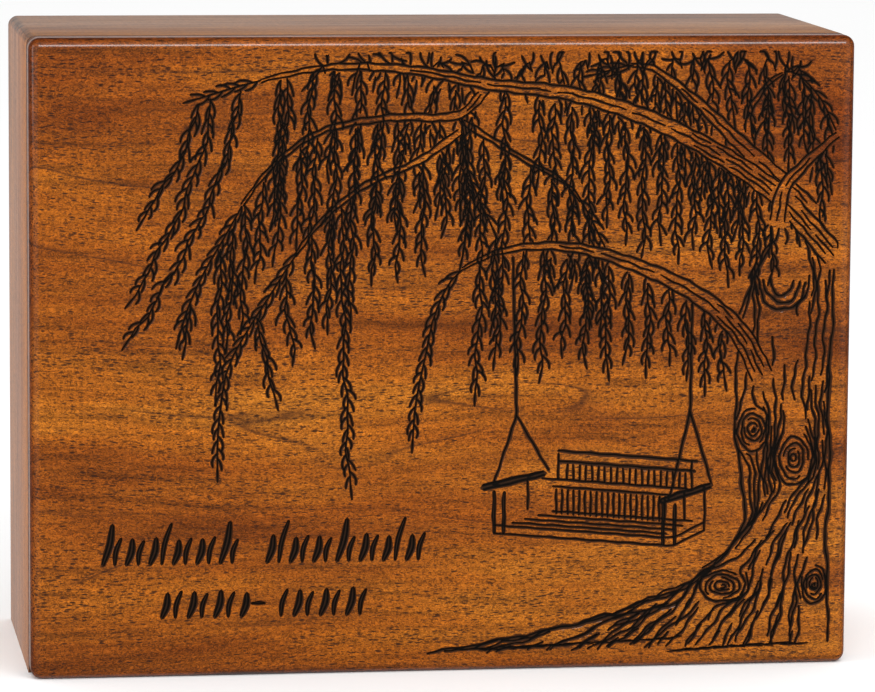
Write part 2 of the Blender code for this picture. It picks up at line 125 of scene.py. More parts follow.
def math_node(tree, operation, first, second=0.0):
    """One sum with numbers."""
    return add_node(tree, "ShaderNodeMath", {0: first, 1: second}, operation=operation).outputs[0]


def vector_math(tree, operation, first, second=(0.0, 0.0, 0.0)):
    """One sum with vectors, of which only the length is a plain number."""
    node = add_node(tree, "ShaderNodeVectorMath", {0: first, 1: second}, operation=operation)
    return node.outputs["Value" if operation == "LENGTH" else "Vector"]


def one_axis(tree, vector, axis):
    """The X, Y or Z of a vector."""
    return add_node(tree, "ShaderNodeSeparateXYZ", {0: vector}).outputs[axis]


def object_place(tree):
    """The place on the board itself, in metres, which stays put when the camera moves."""
    return add_node(tree, "ShaderNodeTexCoord").outputs["Object"]


def ramp(tree, factor, stops, smooth=False):
    """A colour ramp: pairs of position and colour, or of position and grey."""
    stops = list(stops)
    node = add_node(tree, "ShaderNodeValToRGB", {"Fac": factor})
    elements = node.color_ramp.elements
    node.color_ramp.interpolation = "EASE" if smooth else "LINEAR"
    while len(elements) < len(stops):
        elements.new(0.5)
    for element, (position, tone) in zip(elements, stops):
        element.position = position
        element.color = (*tone, 1.0) if isinstance(tone, tuple) else (tone, tone, tone, 1.0)
    return node.outputs["Color"]


def blend_colors(tree, kind, factor, first, second):
    """Two colours mixed or multiplied, by a factor."""
    node = add_node(tree, "ShaderNodeMix", {"Factor": factor}, data_type="RGBA", blend_type=kind)
    link_value(tree, node.inputs[6], first)
    link_value(tree, node.inputs[7], second)
    return node.outputs[2]


print("node helpers are ready")

# %% [markdown]
# The studio is a white table in a white room, with one long soft light in front and above. A polished
# board mirrors whatever stands before it, and a white room in front of the box would lay a grey veil
# over the wood. Photographers hang black cloth around the camera for this. Here the sky does the same:
# for mirror rays it is dark, but for a light stretch low behind the box and a bright ring round the
# camera. The flat face mirrors the dark middle of the ring and stays deep in colour, its rounded edges
# catch the ring, and the top board shines pale.

# %% Studio
SKY_SEEN = 1.0
SKY_DIFFUSE = 1.0
MIRROR_DARK = 0.02
MIRROR_BEHIND = 0.55
MIRROR_RING = 0.5
BEHIND_FALL = 0.5
BEHIND_REACH = (0.15, 0.95)
RING_REACH = [(0.10, 0.0), (0.45, 1.0), (0.88, 1.0), (0.975, 0.0)]
RING_HEIGHT = [(0.15, 0.15), (0.45, 0.7), (0.85, 1.0)]
TABLE_WHITE = (0.98, 0.98, 0.98, 1.0)
TABLE_SIZE = 8.0
LIGHT_TARGET = (0, 0, 0.1)
LIGHTS = {"light_front": ((0.15, -1.25, 1.15), (1.3, 0.42), 13.0),
          "light_left": ((-1.5, -0.35, 0.6), (0.5, 1.0), 3.0)}


def studio_light(name, place, size, power):
    """A soft rectangular light that looks at the middle of the box."""
    data = bpy.data.lights.new(name, "AREA")
    data.shape = "RECTANGLE"
    data.size, data.size_y = size
    data.energy = power
    light = bpy.data.objects.new(name, data)
    light.location = place
    light.rotation_euler = (Vector(LIGHT_TARGET) - Vector(place)).to_track_quat("-Z", "Y").to_euler()
    bpy.context.scene.collection.objects.link(light)


def studio_sky():
    """White where it is seen and as a light, and mostly dark where it is mirrored."""
    world = bpy.data.worlds.new("studio")
    world.use_nodes = True
    tree = world.node_tree
    rays = add_node(tree, "ShaderNodeLightPath")
    direction = add_node(tree, "ShaderNodeTexCoord").outputs["Generated"]
    away = one_axis(tree, direction, "Y")
    height = one_axis(tree, direction, "Z")
    low_behind = math_node(tree, "SUBTRACT", away, math_node(tree, "MULTIPLY", height, BEHIND_FALL))
    behind = ramp(tree, low_behind, zip(BEHIND_REACH, (MIRROR_DARK, MIRROR_BEHIND)), smooth=True)
    reach = ramp(tree, math_node(tree, "MULTIPLY", away, -1.0), RING_REACH)
    above = ramp(tree, math_node(tree, "ADD", height, 0.5), RING_HEIGHT)
    ring = math_node(tree, "MULTIPLY", math_node(tree, "MULTIPLY", reach, above), MIRROR_RING)
    mirrored = math_node(tree, "ADD", behind, ring)
    strength = SKY_DIFFUSE
    for ray, light in (("Is Glossy Ray", mirrored), ("Is Camera Ray", SKY_SEEN)):
        choice = add_node(tree, "ShaderNodeMix", {"Factor": rays.outputs[ray]}, data_type="FLOAT")
        link_value(tree, choice.inputs[2], strength)
        link_value(tree, choice.inputs[3], light)
        strength = choice.outputs[0]
    sky = tree.nodes["Background"]
    sky.inputs["Color"].default_value = (1, 1, 1, 1)
    tree.links.new(strength, sky.inputs["Strength"])
    bpy.context.scene.world = world


def table_top():
    """The white table, far wider than the view. Mirrors don't see it."""
    bm = bmesh.new()
    bmesh.ops.create_grid(bm, x_segments=1, y_segments=1, size=TABLE_SIZE)
    mesh = bpy.data.meshes.new("table_top")
    bm.to_mesh(mesh)
    bm.free()
    table = bpy.data.objects.new("table_top", mesh)
    table.visible_glossy = False
    bpy.context.scene.collection.objects.link(table)
    paint = bpy.data.materials.new("white_table")
    paint.use_nodes = True
    shader = paint.node_tree.nodes["Principled BSDF"]
    shader.inputs["Base Color"].default_value = TABLE_WHITE
    shader.inputs["Roughness"].default_value = 0.9
    shader.inputs["Specular IOR Level"].default_value = 0.1
    mesh.materials.append(paint)


studio_sky()
table_top()
for name, (place, size, power) in LIGHTS.items():
    studio_light(name, place, size, power)
bpy.context.scene.view_settings.view_transform = "Standard"
print("sky, table and", len(LIGHTS), "soft lights")

# %% [markdown]
# The wood is an oiled tropical hardwood: orange brown, with broad darker bands, fine dark streaks and
# short open pores that lie along the grain. A picture could be wrapped over the boards, but solid
# wood is a block of colour, and its end grain has to follow from the same block. So the pattern is
# worked out in space from noise that is stretched along the grain, and each board turns the block so
# that its grain runs the way the joiner laid it.

# %% Wood, the grain's direction
def stretched(tree, vector, along, across):
    """The same place in the block, so many noise cells to the metre along the grain and across it."""
    scale = (along, across, across)
    return add_node(tree, "ShaderNodeMapping", {"Vector": vector, "Scale": scale}).outputs[0]


print("a pattern can be stretched along the grain")

# %% [markdown]
# Six layers make the wood. Broad bands set the ground colour. Streaks and fibres are the same noise at
# finer and finer widths. Curl is an even, fine mottle, the ripple of interlocked grain. Pores are the
# cells of a Voronoi pattern, each squeezed into a short dark dash, and some bands have more of them
# than others. Growth lines are thin and dark, where a bent coordinate passes a whole number. All six
# read one gently bent coordinate, so they swing round each other as real grain does.

# %% Wood, layers
BEND_GRAIN = (7.0, 16.0)
BEND_MIDDLE = (0.5, 0.5, 0.5)
BEND_SIZE = (0.0, 0.014, 0.014)
PORE_SIZE = 0.42
PORE_CORE = 0.55
LINE_SWING = 3.2
LINE_BENDS = (5.0, 30.0, 2.0)
LINE_PARTS = (14.0, 80.0, 2.0)
LINE_BREAKS = [(0.45, 0.0), (0.56, 1.0)]


def grain_block(tree, turn, seed):
    """The board's own coordinates, turned so that the grain runs along X and gently bent."""
    turned = {"Vector": object_place(tree), "Rotation": turn, "Location": seed}
    place = add_node(tree, "ShaderNodeMapping", turned).outputs[0]
    waves = {"Vector": stretched(tree, place, *BEND_GRAIN), "Scale": 1.0, "Detail": 1.0}
    bend = add_node(tree, "ShaderNodeTexNoise", waves).outputs["Color"]
    bend = vector_math(tree, "MULTIPLY", vector_math(tree, "SUBTRACT", bend, BEND_MIDDLE), BEND_SIZE)
    return vector_math(tree, "ADD", place, bend)


def noise(tree, block, along, across, detail, roughness=0.5, distortion=0.0):
    """Noise that is stretched along the grain."""
    settings = {"Vector": stretched(tree, block, along, across), "Scale": 1.0, "Detail": detail,
                "Roughness": roughness, "Distortion": distortion}
    return add_node(tree, "ShaderNodeTexNoise", settings).outputs["Fac"]


def pores(tree, block, along, across, kept):
    """Dark dashes, one to a cell, in a share of the cells. 1 in a pore and 0 beside it."""
    place = stretched(tree, block, along, across)
    cells = add_node(tree, "ShaderNodeTexVoronoi", {"Vector": place, "Scale": 1.0})
    inside = ramp(tree, cells.outputs["Distance"], [(PORE_SIZE * PORE_CORE, 1.0), (PORE_SIZE, 0.0)])
    chance = add_node(tree, "ShaderNodeSeparateColor", {"Color": cells.outputs["Color"]}).outputs[0]
    chosen = math_node(tree, "LESS_THAN", chance, kept)
    return math_node(tree, "MULTIPLY", inside, chosen)


def growth_lines(tree, block, per_metre, thin):
    """Thin dark lines where a bent coordinate passes a whole number, broken along their length."""
    bent = math_node(tree, "ADD", math_node(tree, "MULTIPLY", one_axis(tree, block, "Z"), per_metre),
                     math_node(tree, "MULTIPLY", noise(tree, block, *LINE_BENDS), LINE_SWING))
    phase = math_node(tree, "FRACT", bent)
    line = ramp(tree, phase, [(0.0, 0.0), (thin * 0.5, 1.0), (thin, 0.35), (thin * 2.5, 0.0)])
    broken = ramp(tree, noise(tree, block, *LINE_PARTS), LINE_BREAKS)
    return math_node(tree, "MULTIPLY", line, broken)


print("layers: bands, streaks, fibres, curl, pores and growth lines")

# %% [markdown]
# One function mixes the layers into a finish, because the front board and the case come from the same
# kind of timber. The front is the show board: rich, orange and clear coated. The case is calmer. The
# pores are also slight dents, which catch the light as open pores do.

# %% Wood, finish
FACE_TONES = [(0.26, (0.125, 0.025, 0.0012)), (0.42, (0.250, 0.060, 0.0024)),
              (0.56, (0.330, 0.090, 0.0040)), (0.72, (0.420, 0.134, 0.0080))]
CASE_TONES = [(0.28, (0.200, 0.066, 0.0130)), (0.42, (0.280, 0.100, 0.0210)),
              (0.55, (0.340, 0.130, 0.0300)), (0.70, (0.400, 0.165, 0.0420))]
# Painted light: the walls are the case's wood made lighter and redder, as the lit side of the case looks.
WALL_LIT_TONES = [(0.28, (0.300, 0.085, 0.0120)), (0.42, (0.400, 0.125, 0.0180)),
              (0.55, (0.480, 0.160, 0.0260)), (0.70, (0.560, 0.200, 0.0380))]
PORE_TONE = (0.030, 0.010, 0.004, 1.0)
LINE_TONE = (0.050, 0.015, 0.005, 1.0)
# Painted shade: a dark line along the joint between the front board and the case, the joint's own dark line
# together with the shade in it.
SEAM_SHADE_TONE = (0.060, 0.024, 0.010, 1.0)
SEAM_SHADE_STRENGTH = 0.5
SEAM = (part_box("front_panel")[1][1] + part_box("top_board")[0][1]) / 2
SEAM_SHADE_FADE = [(0.35, 1.0), (0.95, 0.0)]
BAND_GRAIN = (7.0, 48.0, 4.0, 0.58)
STREAK_GRAIN = (16.0, 420.0, 4.0, 0.6)
FIBRE_GRAIN = (110.0, 1900.0, 3.0, 0.6)
CURL_GRAIN = (760.0, 1250.0, 2.0, 0.6, 2.0)
STREAK_TONES = [(0.30, 0.36), (0.46, 0.85), (0.60, 1.05), (0.80, 1.35)]
FIBRE_TONES = [(0.30, 0.62), (0.50, 0.95), (0.72, 1.25)]
CURL_TONES = [(0.34, 0.40), (0.50, 1.0), (0.66, 1.70)]
CROWD_GRAIN = (11.0, 95.0, 2.0)
CROWD_SHARE = [(0.42, 0.06), (0.62, 0.85)]
LARGE_PORES = (340.0, 1350.0)
SMALL_PORES = (600.0, 2200.0, 0.55)
LINES_PER_METRE = 44.0
LINE_THIN = 0.034
PORE_DEPTH = 0.00012
COAT_ROUGHNESS = 0.12


def seam_distance(tree):
    """How far a place is from the joint between the front board and the case, in millimetres."""
    away = math_node(tree, "SUBTRACT", one_axis(tree, object_place(tree), "Y"), SEAM)
    return math_node(tree, "MULTIPLY", math_node(tree, "ABSOLUTE", away), 1000.0)


def turned_away(tree, axis):
    """How much of the surface's direction lies along an axis, 0 to 1."""
    normal = add_node(tree, "ShaderNodeNewGeometry").outputs["Normal"]
    return math_node(tree, "ABSOLUTE", one_axis(tree, normal, axis))


def wood_finish(name, tones, turn, seed=(0.0, 0.0, 0.0), coat=0.25, roughness=0.42, vivid=1.0,
                specular=0.35):
    """A wood material and the sockets that a special finish can build on."""
    material = bpy.data.materials.new(name)
    material.use_nodes = True
    tree = material.node_tree
    block = grain_block(tree, turn, seed)

    streaks = noise(tree, block, *STREAK_GRAIN)
    fibres = noise(tree, block, *FIBRE_GRAIN)
    curl = noise(tree, block, *CURL_GRAIN)
    color = ramp(tree, noise(tree, block, *BAND_GRAIN), tones)
    for layer, factor, stops in ((streaks, 0.75 * vivid, STREAK_TONES), (fibres, 0.60, FIBRE_TONES),
                                 (curl, 0.95 * vivid, CURL_TONES)):
        color = blend_colors(tree, "MULTIPLY", factor, color, ramp(tree, layer, stops))
    crowded = ramp(tree, noise(tree, block, *CROWD_GRAIN), CROWD_SHARE)
    small = math_node(tree, "MULTIPLY", pores(tree, block, *SMALL_PORES), 0.75)
    dashes = math_node(tree, "MAXIMUM", pores(tree, block, *LARGE_PORES, crowded), small)
    lines = growth_lines(tree, block, LINES_PER_METRE, LINE_THIN)
    # Painted shade along the joint with the front board, on top of the joint's own dark line.
    seam_shade = ramp(tree, seam_distance(tree), SEAM_SHADE_FADE)
    for marks, dark, tone in ((lines, 0.80 * vivid, LINE_TONE), (dashes, 0.90 * vivid, PORE_TONE),
                              (seam_shade, SEAM_SHADE_STRENGTH, SEAM_SHADE_TONE)):
        color = blend_colors(tree, "MIX", math_node(tree, "MULTIPLY", marks, dark), color, tone)

    height = math_node(tree, "SUBTRACT", math_node(tree, "MULTIPLY", fibres, 0.3), dashes)
    dented = {"Height": height, "Strength": 0.35, "Distance": PORE_DEPTH}
    dent = add_node(tree, "ShaderNodeBump", dented).outputs[0]
    gloss = ramp(tree, streaks, [(0.3, roughness + 0.08), (0.7, roughness - 0.06)])

    shader = tree.nodes["Principled BSDF"]
    shader.inputs["Specular IOR Level"].default_value = specular
    shader.inputs["Coat Weight"].default_value = coat
    shader.inputs["Coat Roughness"].default_value = COAT_ROUGHNESS
    tree.links.new(color, shader.inputs["Base Color"])
    tree.links.new(gloss, shader.inputs["Roughness"])
    tree.links.new(dent, shader.inputs["Normal"])
    return material, {"color": color, "gloss": gloss}


END_TONE = (0.070, 0.026, 0.009, 1.0)
END_BAND = [(0.10, 0.0), (0.40, 1.0)]
END_SCALE = (260.0, 620.0, 260.0)
END_TURN = (0.6, 0.0, 0.6)
END_MARKS = [(0.36, 1.0), (0.56, 0.25)]


def end_grain(material, parts):
    """Dark marks across the rounded corner of the case, where the rounding opens the ends of the grain."""
    tree = material.node_tree
    corner = math_node(tree, "MINIMUM", turned_away(tree, "X"), turned_away(tree, "Z"))
    turned = {"Vector": object_place(tree), "Scale": END_SCALE, "Rotation": END_TURN}
    place = add_node(tree, "ShaderNodeMapping", turned).outputs[0]
    marks = add_node(tree, "ShaderNodeTexNoise", {"Vector": place, "Scale": 1.0, "Detail": 2.0})
    broken = ramp(tree, marks.outputs["Fac"], END_MARKS)
    dark = math_node(tree, "MULTIPLY", ramp(tree, corner, END_BAND), broken)
    color = blend_colors(tree, "MIX", dark, parts["color"], END_TONE)
    tree.links.new(color, tree.nodes["Principled BSDF"].inputs["Base Color"])


ALONG_X = (0.0, 0.0, 0.0)
UPRIGHT = (0.0, math.radians(90), 0.0)
top_wood, top_parts = wood_finish("top_wood", CASE_TONES, ALONG_X, (0.3, 0.1, 0.0), vivid=0.6)
# The walls take the lighter tones: painted light on the sides of the case.
lit_wall_wood, lit_wall_parts = wood_finish("lit_wall_wood", WALL_LIT_TONES, UPRIGHT, (0.1, 0.2, 0.4), vivid=0.6)
end_grain(top_wood, top_parts)
end_grain(lit_wall_wood, lit_wall_parts)
back_wood, _ = wood_finish("back_wood", CASE_TONES, ALONG_X, (0.7, 0.3, 0.2), coat=0.1, vivid=0.8)
base_wood, _ = wood_finish("base_wood", CASE_TONES, ALONG_X, (0.2, 0.6, 0.9), coat=0.0, roughness=0.55)
print("woods:", [m.name for m in (top_wood, lit_wall_wood, back_wood, base_wood)])

# %% [markdown]
# The front board is burnt as well as carved. The carving below writes a number on every point of the
# board, 0 on the wood and 1 at the bottom of a groove. The finish reads it: a soft brown edge, then
# char, and on the floor of a wide groove a little brown again, where the tool has scraped it. The
# polish misses a rounded edge, and the wood is painted darker where it turns away from the front:
# painted shade on the rounded edges. Two patches of redder heartwood lie in the upper corners of this
# board.

# %% Wood, burnt carving
BURN = "burn"
# Painted shade: the tone and the share below darken the rounded edges, where the surface turns away from
# the front.
ROUNDED_SHADE_TONE = (0.58, 0.46, 0.30, 1.0)
SIDE_POLISH = 0.55
CHAR_STOPS = [(0.0, 0.0), (0.06, 0.45), (0.22, 1.0)]
CHAR_TONES = [(0.10, (0.050, 0.014, 0.003)), (0.60, (0.032, 0.013, 0.005)),
              (0.80, (0.004, 0.0025, 0.0015))]
CHAR_GLOSS = (0.75, 0.75, 0.75, 1.0)
ROUNDED_SHADE_SHARE = [(0.05, 0.0), (0.14, 1.0), (0.50, 1.0), (0.97, 0.0)]
POLISH_SHARE = [(0.05, SIDE_POLISH), (0.14, 0.0), (0.40, 0.0), (0.80, 1.0)]
HEARTS = [((0.118, 0.0, 0.178), (0.060, 1.0, 0.044), 1.0),
          ((-0.118, 0.0, 0.184), (0.060, 1.0, 0.020), 0.7)]
HEART_TONE = (0.62, 0.48, 0.42, 1.0)
HEART_EDGE = (0.55, 1.0)
HEART_ROUND = 0.6
HEART_RAGGED = 0.8


def heartwood(tree, color):
    """The redder and darker patches of heartwood that the board keeps in its two upper corners."""
    for middle, size, weight in HEARTS:
        place = vector_math(tree, "DIVIDE", vector_math(tree, "SUBTRACT", object_place(tree), middle), size)
        ragged = add_node(tree, "ShaderNodeTexNoise", {"Vector": place, "Scale": 1.6, "Detail": 4.0})
        away = math_node(tree, "ADD",
                         math_node(tree, "MULTIPLY", vector_math(tree, "LENGTH", place), HEART_ROUND),
                         math_node(tree, "MULTIPLY", ragged.outputs["Fac"], HEART_RAGGED))
        inside = ramp(tree, away, zip(HEART_EDGE, (weight, 0.0)), smooth=True)
        color = blend_colors(tree, "MULTIPLY", inside, color, HEART_TONE)
    return color


def burnt_finish():
    """The show wood of the front, its grooves charred."""
    material, parts = wood_finish("front_wood", FACE_TONES, ALONG_X, coat=1.0, roughness=0.45, specular=0.1)
    tree = material.node_tree
    facing = turned_away(tree, "Y")
    rounding = ramp(tree, facing, ROUNDED_SHADE_SHARE)
    polish = ramp(tree, facing, POLISH_SHARE)
    # Painted shade: the rounded edges are darkened by how far the surface turns away from the front.
    color = blend_colors(tree, "MULTIPLY", rounding, heartwood(tree, parts["color"]), ROUNDED_SHADE_TONE)
    reader = add_node(tree, "ShaderNodeAttribute", attribute_name=BURN, attribute_type="GEOMETRY")
    burn = reader.outputs["Fac"]
    char = ramp(tree, burn, CHAR_STOPS)
    color = blend_colors(tree, "MIX", char, color, ramp(tree, burn, CHAR_TONES))
    gloss = blend_colors(tree, "MIX", char, parts["gloss"], CHAR_GLOSS)
    shader = tree.nodes["Principled BSDF"]
    tree.links.new(color, shader.inputs["Base Color"])
    tree.links.new(gloss, shader.inputs["Roughness"])
    bare = math_node(tree, "SUBTRACT", 1.0, char)
    tree.links.new(math_node(tree, "MULTIPLY", bare, polish), shader.inputs["Coat Weight"])
    return material


front_wood = burnt_finish()
print("front wood reads the attribute", BURN)

# %% [markdown]
# The picture on the board is drawn with single strokes, as a hand router or a laser draws it. It is
# laid out in millimetres from the board's lower left corner. A few points place each bough, and rules
# do the rest: strands hang from the boughs, leaves grow in turn left and right on the strands, and the
# grain of the bark flows between the two outlines of the trunk. The same boughs, curtains and outlines
# are in the part's solids, which carry them with fewer and coarser cuts.

# %% Drawing, tools
GRID_WIDTH, GRID_HEIGHT = 254.0, 196.0
GOLDEN = 0.618034
MARGIN = 4.8
NEAR = 0.35
GROOVE_DEPTH = 0.55
TAPER = 0.25
CURVE_STEPS = 6
strokes = []


def share(index, shift=0.0):
    """An even, unrepeating spread of numbers from 0 to 1."""
    return (index * GOLDEN + shift) % 1.0


def mix(first, last, amount):
    """The number at a share of the way from the first to the last."""
    return first + (last - first) * amount


def smooth_line(points, steps):
    """A curve through the points, with so many steps between two of them."""
    pts = [Vector(p).to_2d() for p in points]
    pts = [pts[0] * 2 - pts[1]] + pts + [pts[-1] * 2 - pts[-2]]
    line = []
    for a, b, c, d in zip(pts, pts[1:], pts[2:], pts[3:]):
        for step in range(steps):
            t = step / steps
            line.append(0.5 * (2 * b + (c - a) * t + (2 * a - 5 * b + 4 * c - d) * t ** 2
                               + (3 * b - a - 3 * c + d) * t ** 3))
    return line + [pts[-2]]


def length_of(line):
    """How long a line of points is."""
    return sum((b - a).length for a, b in zip(line, line[1:]))


def along(line, amount):
    """The point and the direction at a share of the line's length."""
    rest = max(0.0, min(1.0, amount)) * length_of(line)
    for a, b in zip(line, line[1:]):
        step = (b - a).length
        if rest <= step and step > 0:
            return a + (b - a) * (rest / step), (b - a).normalized()
        rest -= step
    return line[-1], (line[-1] - line[-2]).normalized()


def beside(direction):
    """The direction a quarter turn to the left."""
    return Vector((-direction.y, direction.x))


def evenly(line, pitch):
    """The same line with its points at an even pitch."""
    count = max(2, round(length_of(line) / pitch))
    return [along(line, i / count)[0] for i in range(count + 1)]


def wobble(line, size, wave, seed):
    """The same line, shaken a little from side to side, as a hand shakes it."""
    shaken, run = [], 0.0
    for i, spot in enumerate(line):
        before, after = line[max(i - 1, 0)], line[min(i + 1, len(line) - 1)]
        run += (spot - before).length
        shift = math.sin(math.tau * (run / wave + share(seed)))
        shift += 0.5 * math.sin(math.tau * (run / wave * 2.3 + share(seed, 0.3)))
        shaken.append(spot + beside((after - before).normalized()) * size * shift)
    return shaken


def fenced(spot):
    """The same place, or the nearest one that is clear of the board's rounded edge."""
    return Vector((min(max(spot.x, MARGIN), GRID_WIDTH - MARGIN),
                   min(max(spot.y, MARGIN), GRID_HEIGHT - MARGIN)))


def engrave(line, half_width, depth=GROOVE_DEPTH, floor=0.0, ends=0.65, swell=0.2):
    """Adds a stroke to the drawing. It thins to a share of its width at both ends."""
    line = [fenced(spot) for spot in line]
    line = [line[0]] + [b for a, b in zip(line, line[1:]) if (b - a).length > NEAR]
    last = len(line) - 1
    if last < 1:
        return
    halves = []
    for i in range(last + 1):
        edge = min(1.0, min(i, last - i) / max(1.0, TAPER * last))
        halves.append(half_width * mix(ends, 1.0, edge) * (1 + swell * (share(i + len(strokes)) - 0.5)))
    strokes.append((line, halves, depth, floor))


BOUGH_STEP = 3.0
BOUGH_NEAR = 7.0
bough_bands = []


def in_bough(spot):
    """Whether a place lies inside the thick part of a bough, which hides what is behind it."""
    for line, halves in bough_bands:
        for a, b, half in zip(line, line[1:], halves):
            if abs(spot.x - a.x) < BOUGH_NEAR and abs(spot.y - a.y) < BOUGH_NEAR:
                run = b - a
                t = max(0.0, min(1.0, (spot - a).dot(run) / run.length_squared))
                if (spot - a - run * t).length < half:
                    return True
    return False


def engrave_seen(line, half_width, **settings):
    """Engraves the stretches of a line that no bough hides."""
    runs = [[]]
    for spot in line:
        if in_bough(spot):
            runs.append([])
        else:
            runs[-1].append(spot)
    for run in runs:
        if len(run) > 2:
            engrave(run, half_width, **settings)


print("drawing grid", GRID_WIDTH, "x", GRID_HEIGHT, "mm")

# %% [markdown]
# Boughs come first, the nearest before the ones behind it: whatever is drawn later is left out where a
# thick bough already lies. Each is a curve from its root outwards, with half its width at the root and
# at the tip. A woodcut shows a bough by its two edges and a few broken lines of bark between them, so
# that is what the function draws.

# %% Drawing, boughs
BOUGHS = {
    "right": ([(230, 139), (232, 149), (239, 157), (248.5, 165.5)], 2.4, 0.8),
    "crown": ([(248, 128), (240, 137), (229, 148), (211, 160), (189, 171), (165, 178.5), (140, 181.5),
               (116, 186), (92, 187), (70, 183), (49, 177)], 3.6, 0.5),
    "shoulder": ([(139, 180), (130, 172), (110, 171.5), (90, 168), (77, 160), (67, 149), (60, 137),
                  (53, 125), (48, 114), (45, 104)], 1.3, 0.4),
    "reach": ([(131, 167), (118, 158), (104, 152), (94, 145), (86, 137), (79, 127), (72, 116),
               (65, 105), (60, 95), (58, 84), (57, 73), (57, 63)], 1.1, 0.4),
    "upper": ([(240, 142), (229, 153), (217, 164), (203, 177), (188, 187), (171, 184)], 3.3, 0.5),
    "fork": ([(222, 158), (221, 173), (232, 185), (242, 178), (248, 167)], 1.1, 0.4),
    "inner": ([(131, 170), (134, 154), (142, 136)], 0.8, 0.3),
    "middle": ([(132, 170), (150, 159), (166, 149), (177, 130)], 0.9, 0.3),
    "lower": ([(226, 91), (219, 104), (207, 115), (190, 124), (168, 131), (147, 131), (131, 124),
               (124, 112), (121, 99), (118, 84), (117, 71)], 3.4, 0.4),
}
LEAFY_TIPS = {"crown": 0.90, "shoulder": 0.66, "reach": 0.46, "lower": 0.66, "upper": 0.84, "inner": 0.4,
              "middle": 0.7, "fork": 0.55}
BOUGH_PITCH = 2.2
BOUGH_LINE = 0.58
BARK_GAP = 1.5
BARK_ROOM = 1.15
BARK_HALF = 0.46
BARK_RUN = (4, 11)
THICK_BOUGH = 0.9
EDGE_SHAKE = (0.18, 9.0)
BOUGH_SHAKE = (0.2, 8.0)


def draw_bough(points, root_half, tip_half, bare):
    """The two edges of a bough up to its leaves, and broken lines of bark where it is wide enough."""
    line = evenly(smooth_line(points, CURVE_STEPS), BOUGH_PITCH)
    last = len(line) - 1
    end = round(last * bare)

    def half_at(i):
        return mix(root_half, tip_half, min(1.0, i / end))

    def shifted(first, stop, offset):
        piece = []
        for i in range(first, stop + 1):
            spot, direction = along(line, i / last)
            piece.append(spot + beside(direction) * offset(i))
        return piece

    for side in (-1, 1):
        edge = shifted(0, end, lambda i: side * half_at(i))
        engrave_seen(wobble(edge, *EDGE_SHAKE, len(strokes)), BOUGH_LINE, ends=0.6, swell=0.4)
    rows = int((root_half - BARK_ROOM) / BARK_GAP)
    for row in range(-rows, rows + 1):
        away = row * BARK_GAP
        room = [i for i in range(end) if half_at(i) - abs(away) > BARK_ROOM]
        start, stop = abs(row), len(room) - 1
        while start + 2 < stop:
            reach = min(round(mix(*BARK_RUN, share(start, 0.17 * row))), stop - start)
            piece = shifted(start, start + reach, lambda i: away)
            engrave_seen(wobble(piece, *BOUGH_SHAKE, len(strokes)), BARK_HALF, swell=0.4)
            start += reach + 1


for name, (points, root_half, tip_half) in BOUGHS.items():
    draw_bough(points, root_half, tip_half, LEAFY_TIPS.get(name, 1.0))
    line = evenly(smooth_line(points, CURVE_STEPS), BOUGH_STEP)
    end = len(line) * LEAFY_TIPS.get(name, 1.0)
    halves = [mix(root_half, tip_half, min(1.0, i / end)) for i in range(len(line))]
    bough_bands.append((line, [half if half > THICK_BOUGH else 0.0 for half in halves]))
print("boughs:", len(BOUGHS), "strokes so far:", len(strokes))

# %% [markdown]
# A willow is read by its hanging strands. Each curtain says from which bough and over which stretch
# its strands hang, and how far the first and the last one fall and swing out. The brim is no bough: it
# is the height near the board's top edge from which the foliage behind the crown comes down. A leaf
# is one hooked stroke that leaves the stem, bows out and comes down beside it, left and right in turn.

# %% Drawing, strands and leaves
BRIM = [(88, 189), (112, 190.4), (140, 189), (165, 190.4), (200, 190.8), (222, 190.4), (237, 188)]
CURTAINS = [
    ("crown", 0.13, 0.48, 14, 30, 40, 0, 0),
    ("crown", 0.50, 0.60, 3, 26, 44, 0, 1),
    ("crown", 0.62, 0.86, 8, 22, 34, 1, 3),
    ("crown", 0.87, 0.885, 1, 44, 44, 3, 3),
    ("crown", 0.93, 0.94, 1, 88, 88, 34, 34),
    ("crown", 0.97, 0.99, 2, 58, 38, 25, 18),
    ("shoulder", 0.08, 0.42, 8, 26, 34, 0, 2),
    ("shoulder", 0.46, 0.70, 5, 26, 38, 1, 2),
    ("shoulder", 0.76, 0.90, 2, 40, 14, 1, 3),
    ("reach", 0.04, 0.34, 6, 28, 36, 0, 1),
    ("reach", 0.31, 0.32, 1, 78, 78, -3, -3),
    ("reach", 0.40, 0.62, 3, 32, 24, 0, -6),
    ("upper", 0.36, 0.98, 8, 28, 22, 0, 0),
    ("right", 0.45, 0.80, 2, 18, 26, -1, -1),
    ("fork", 0.28, 0.88, 5, 26, 26, 0, -1),
    ("inner", 0.40, 1.00, 2, 26, 30, 1, 0),
    ("middle", 0.12, 0.92, 7, 34, 26, 1, -1),
    ("lower", 0.14, 0.62, 13, 22, 40, -1, 2),
    ("brim", 0.00, 0.42, 11, 7, 10, 3, 0),
    ("brim", 0.46, 1.00, 15, 14, 24, 0, -2),
]
BRIM_ARCH = 3.4
STRAND_SPREAD = 0.30
STRAND_STEPS = 7
STRAND_PITCH = 2.6
TIP_STEPS = 12
STRAND_SWAY = 0.55
STRAND_WAVE = 21.0
STRAND_TOP = 1.4
SWING_POWER = 1.6
STEM_LINE = 0.44
LEAF_PITCH = 1.85
LEAF_LENGTH = 5.0
LEAF_REACH = (1.1, 2.0)
LEAF_LINE = 0.62
LEAF_BOW = ((0.28, 0.62), (0.66, 1.0))
TIP_LEAF = (-2.0, 0.0, 1.2, 2.6)


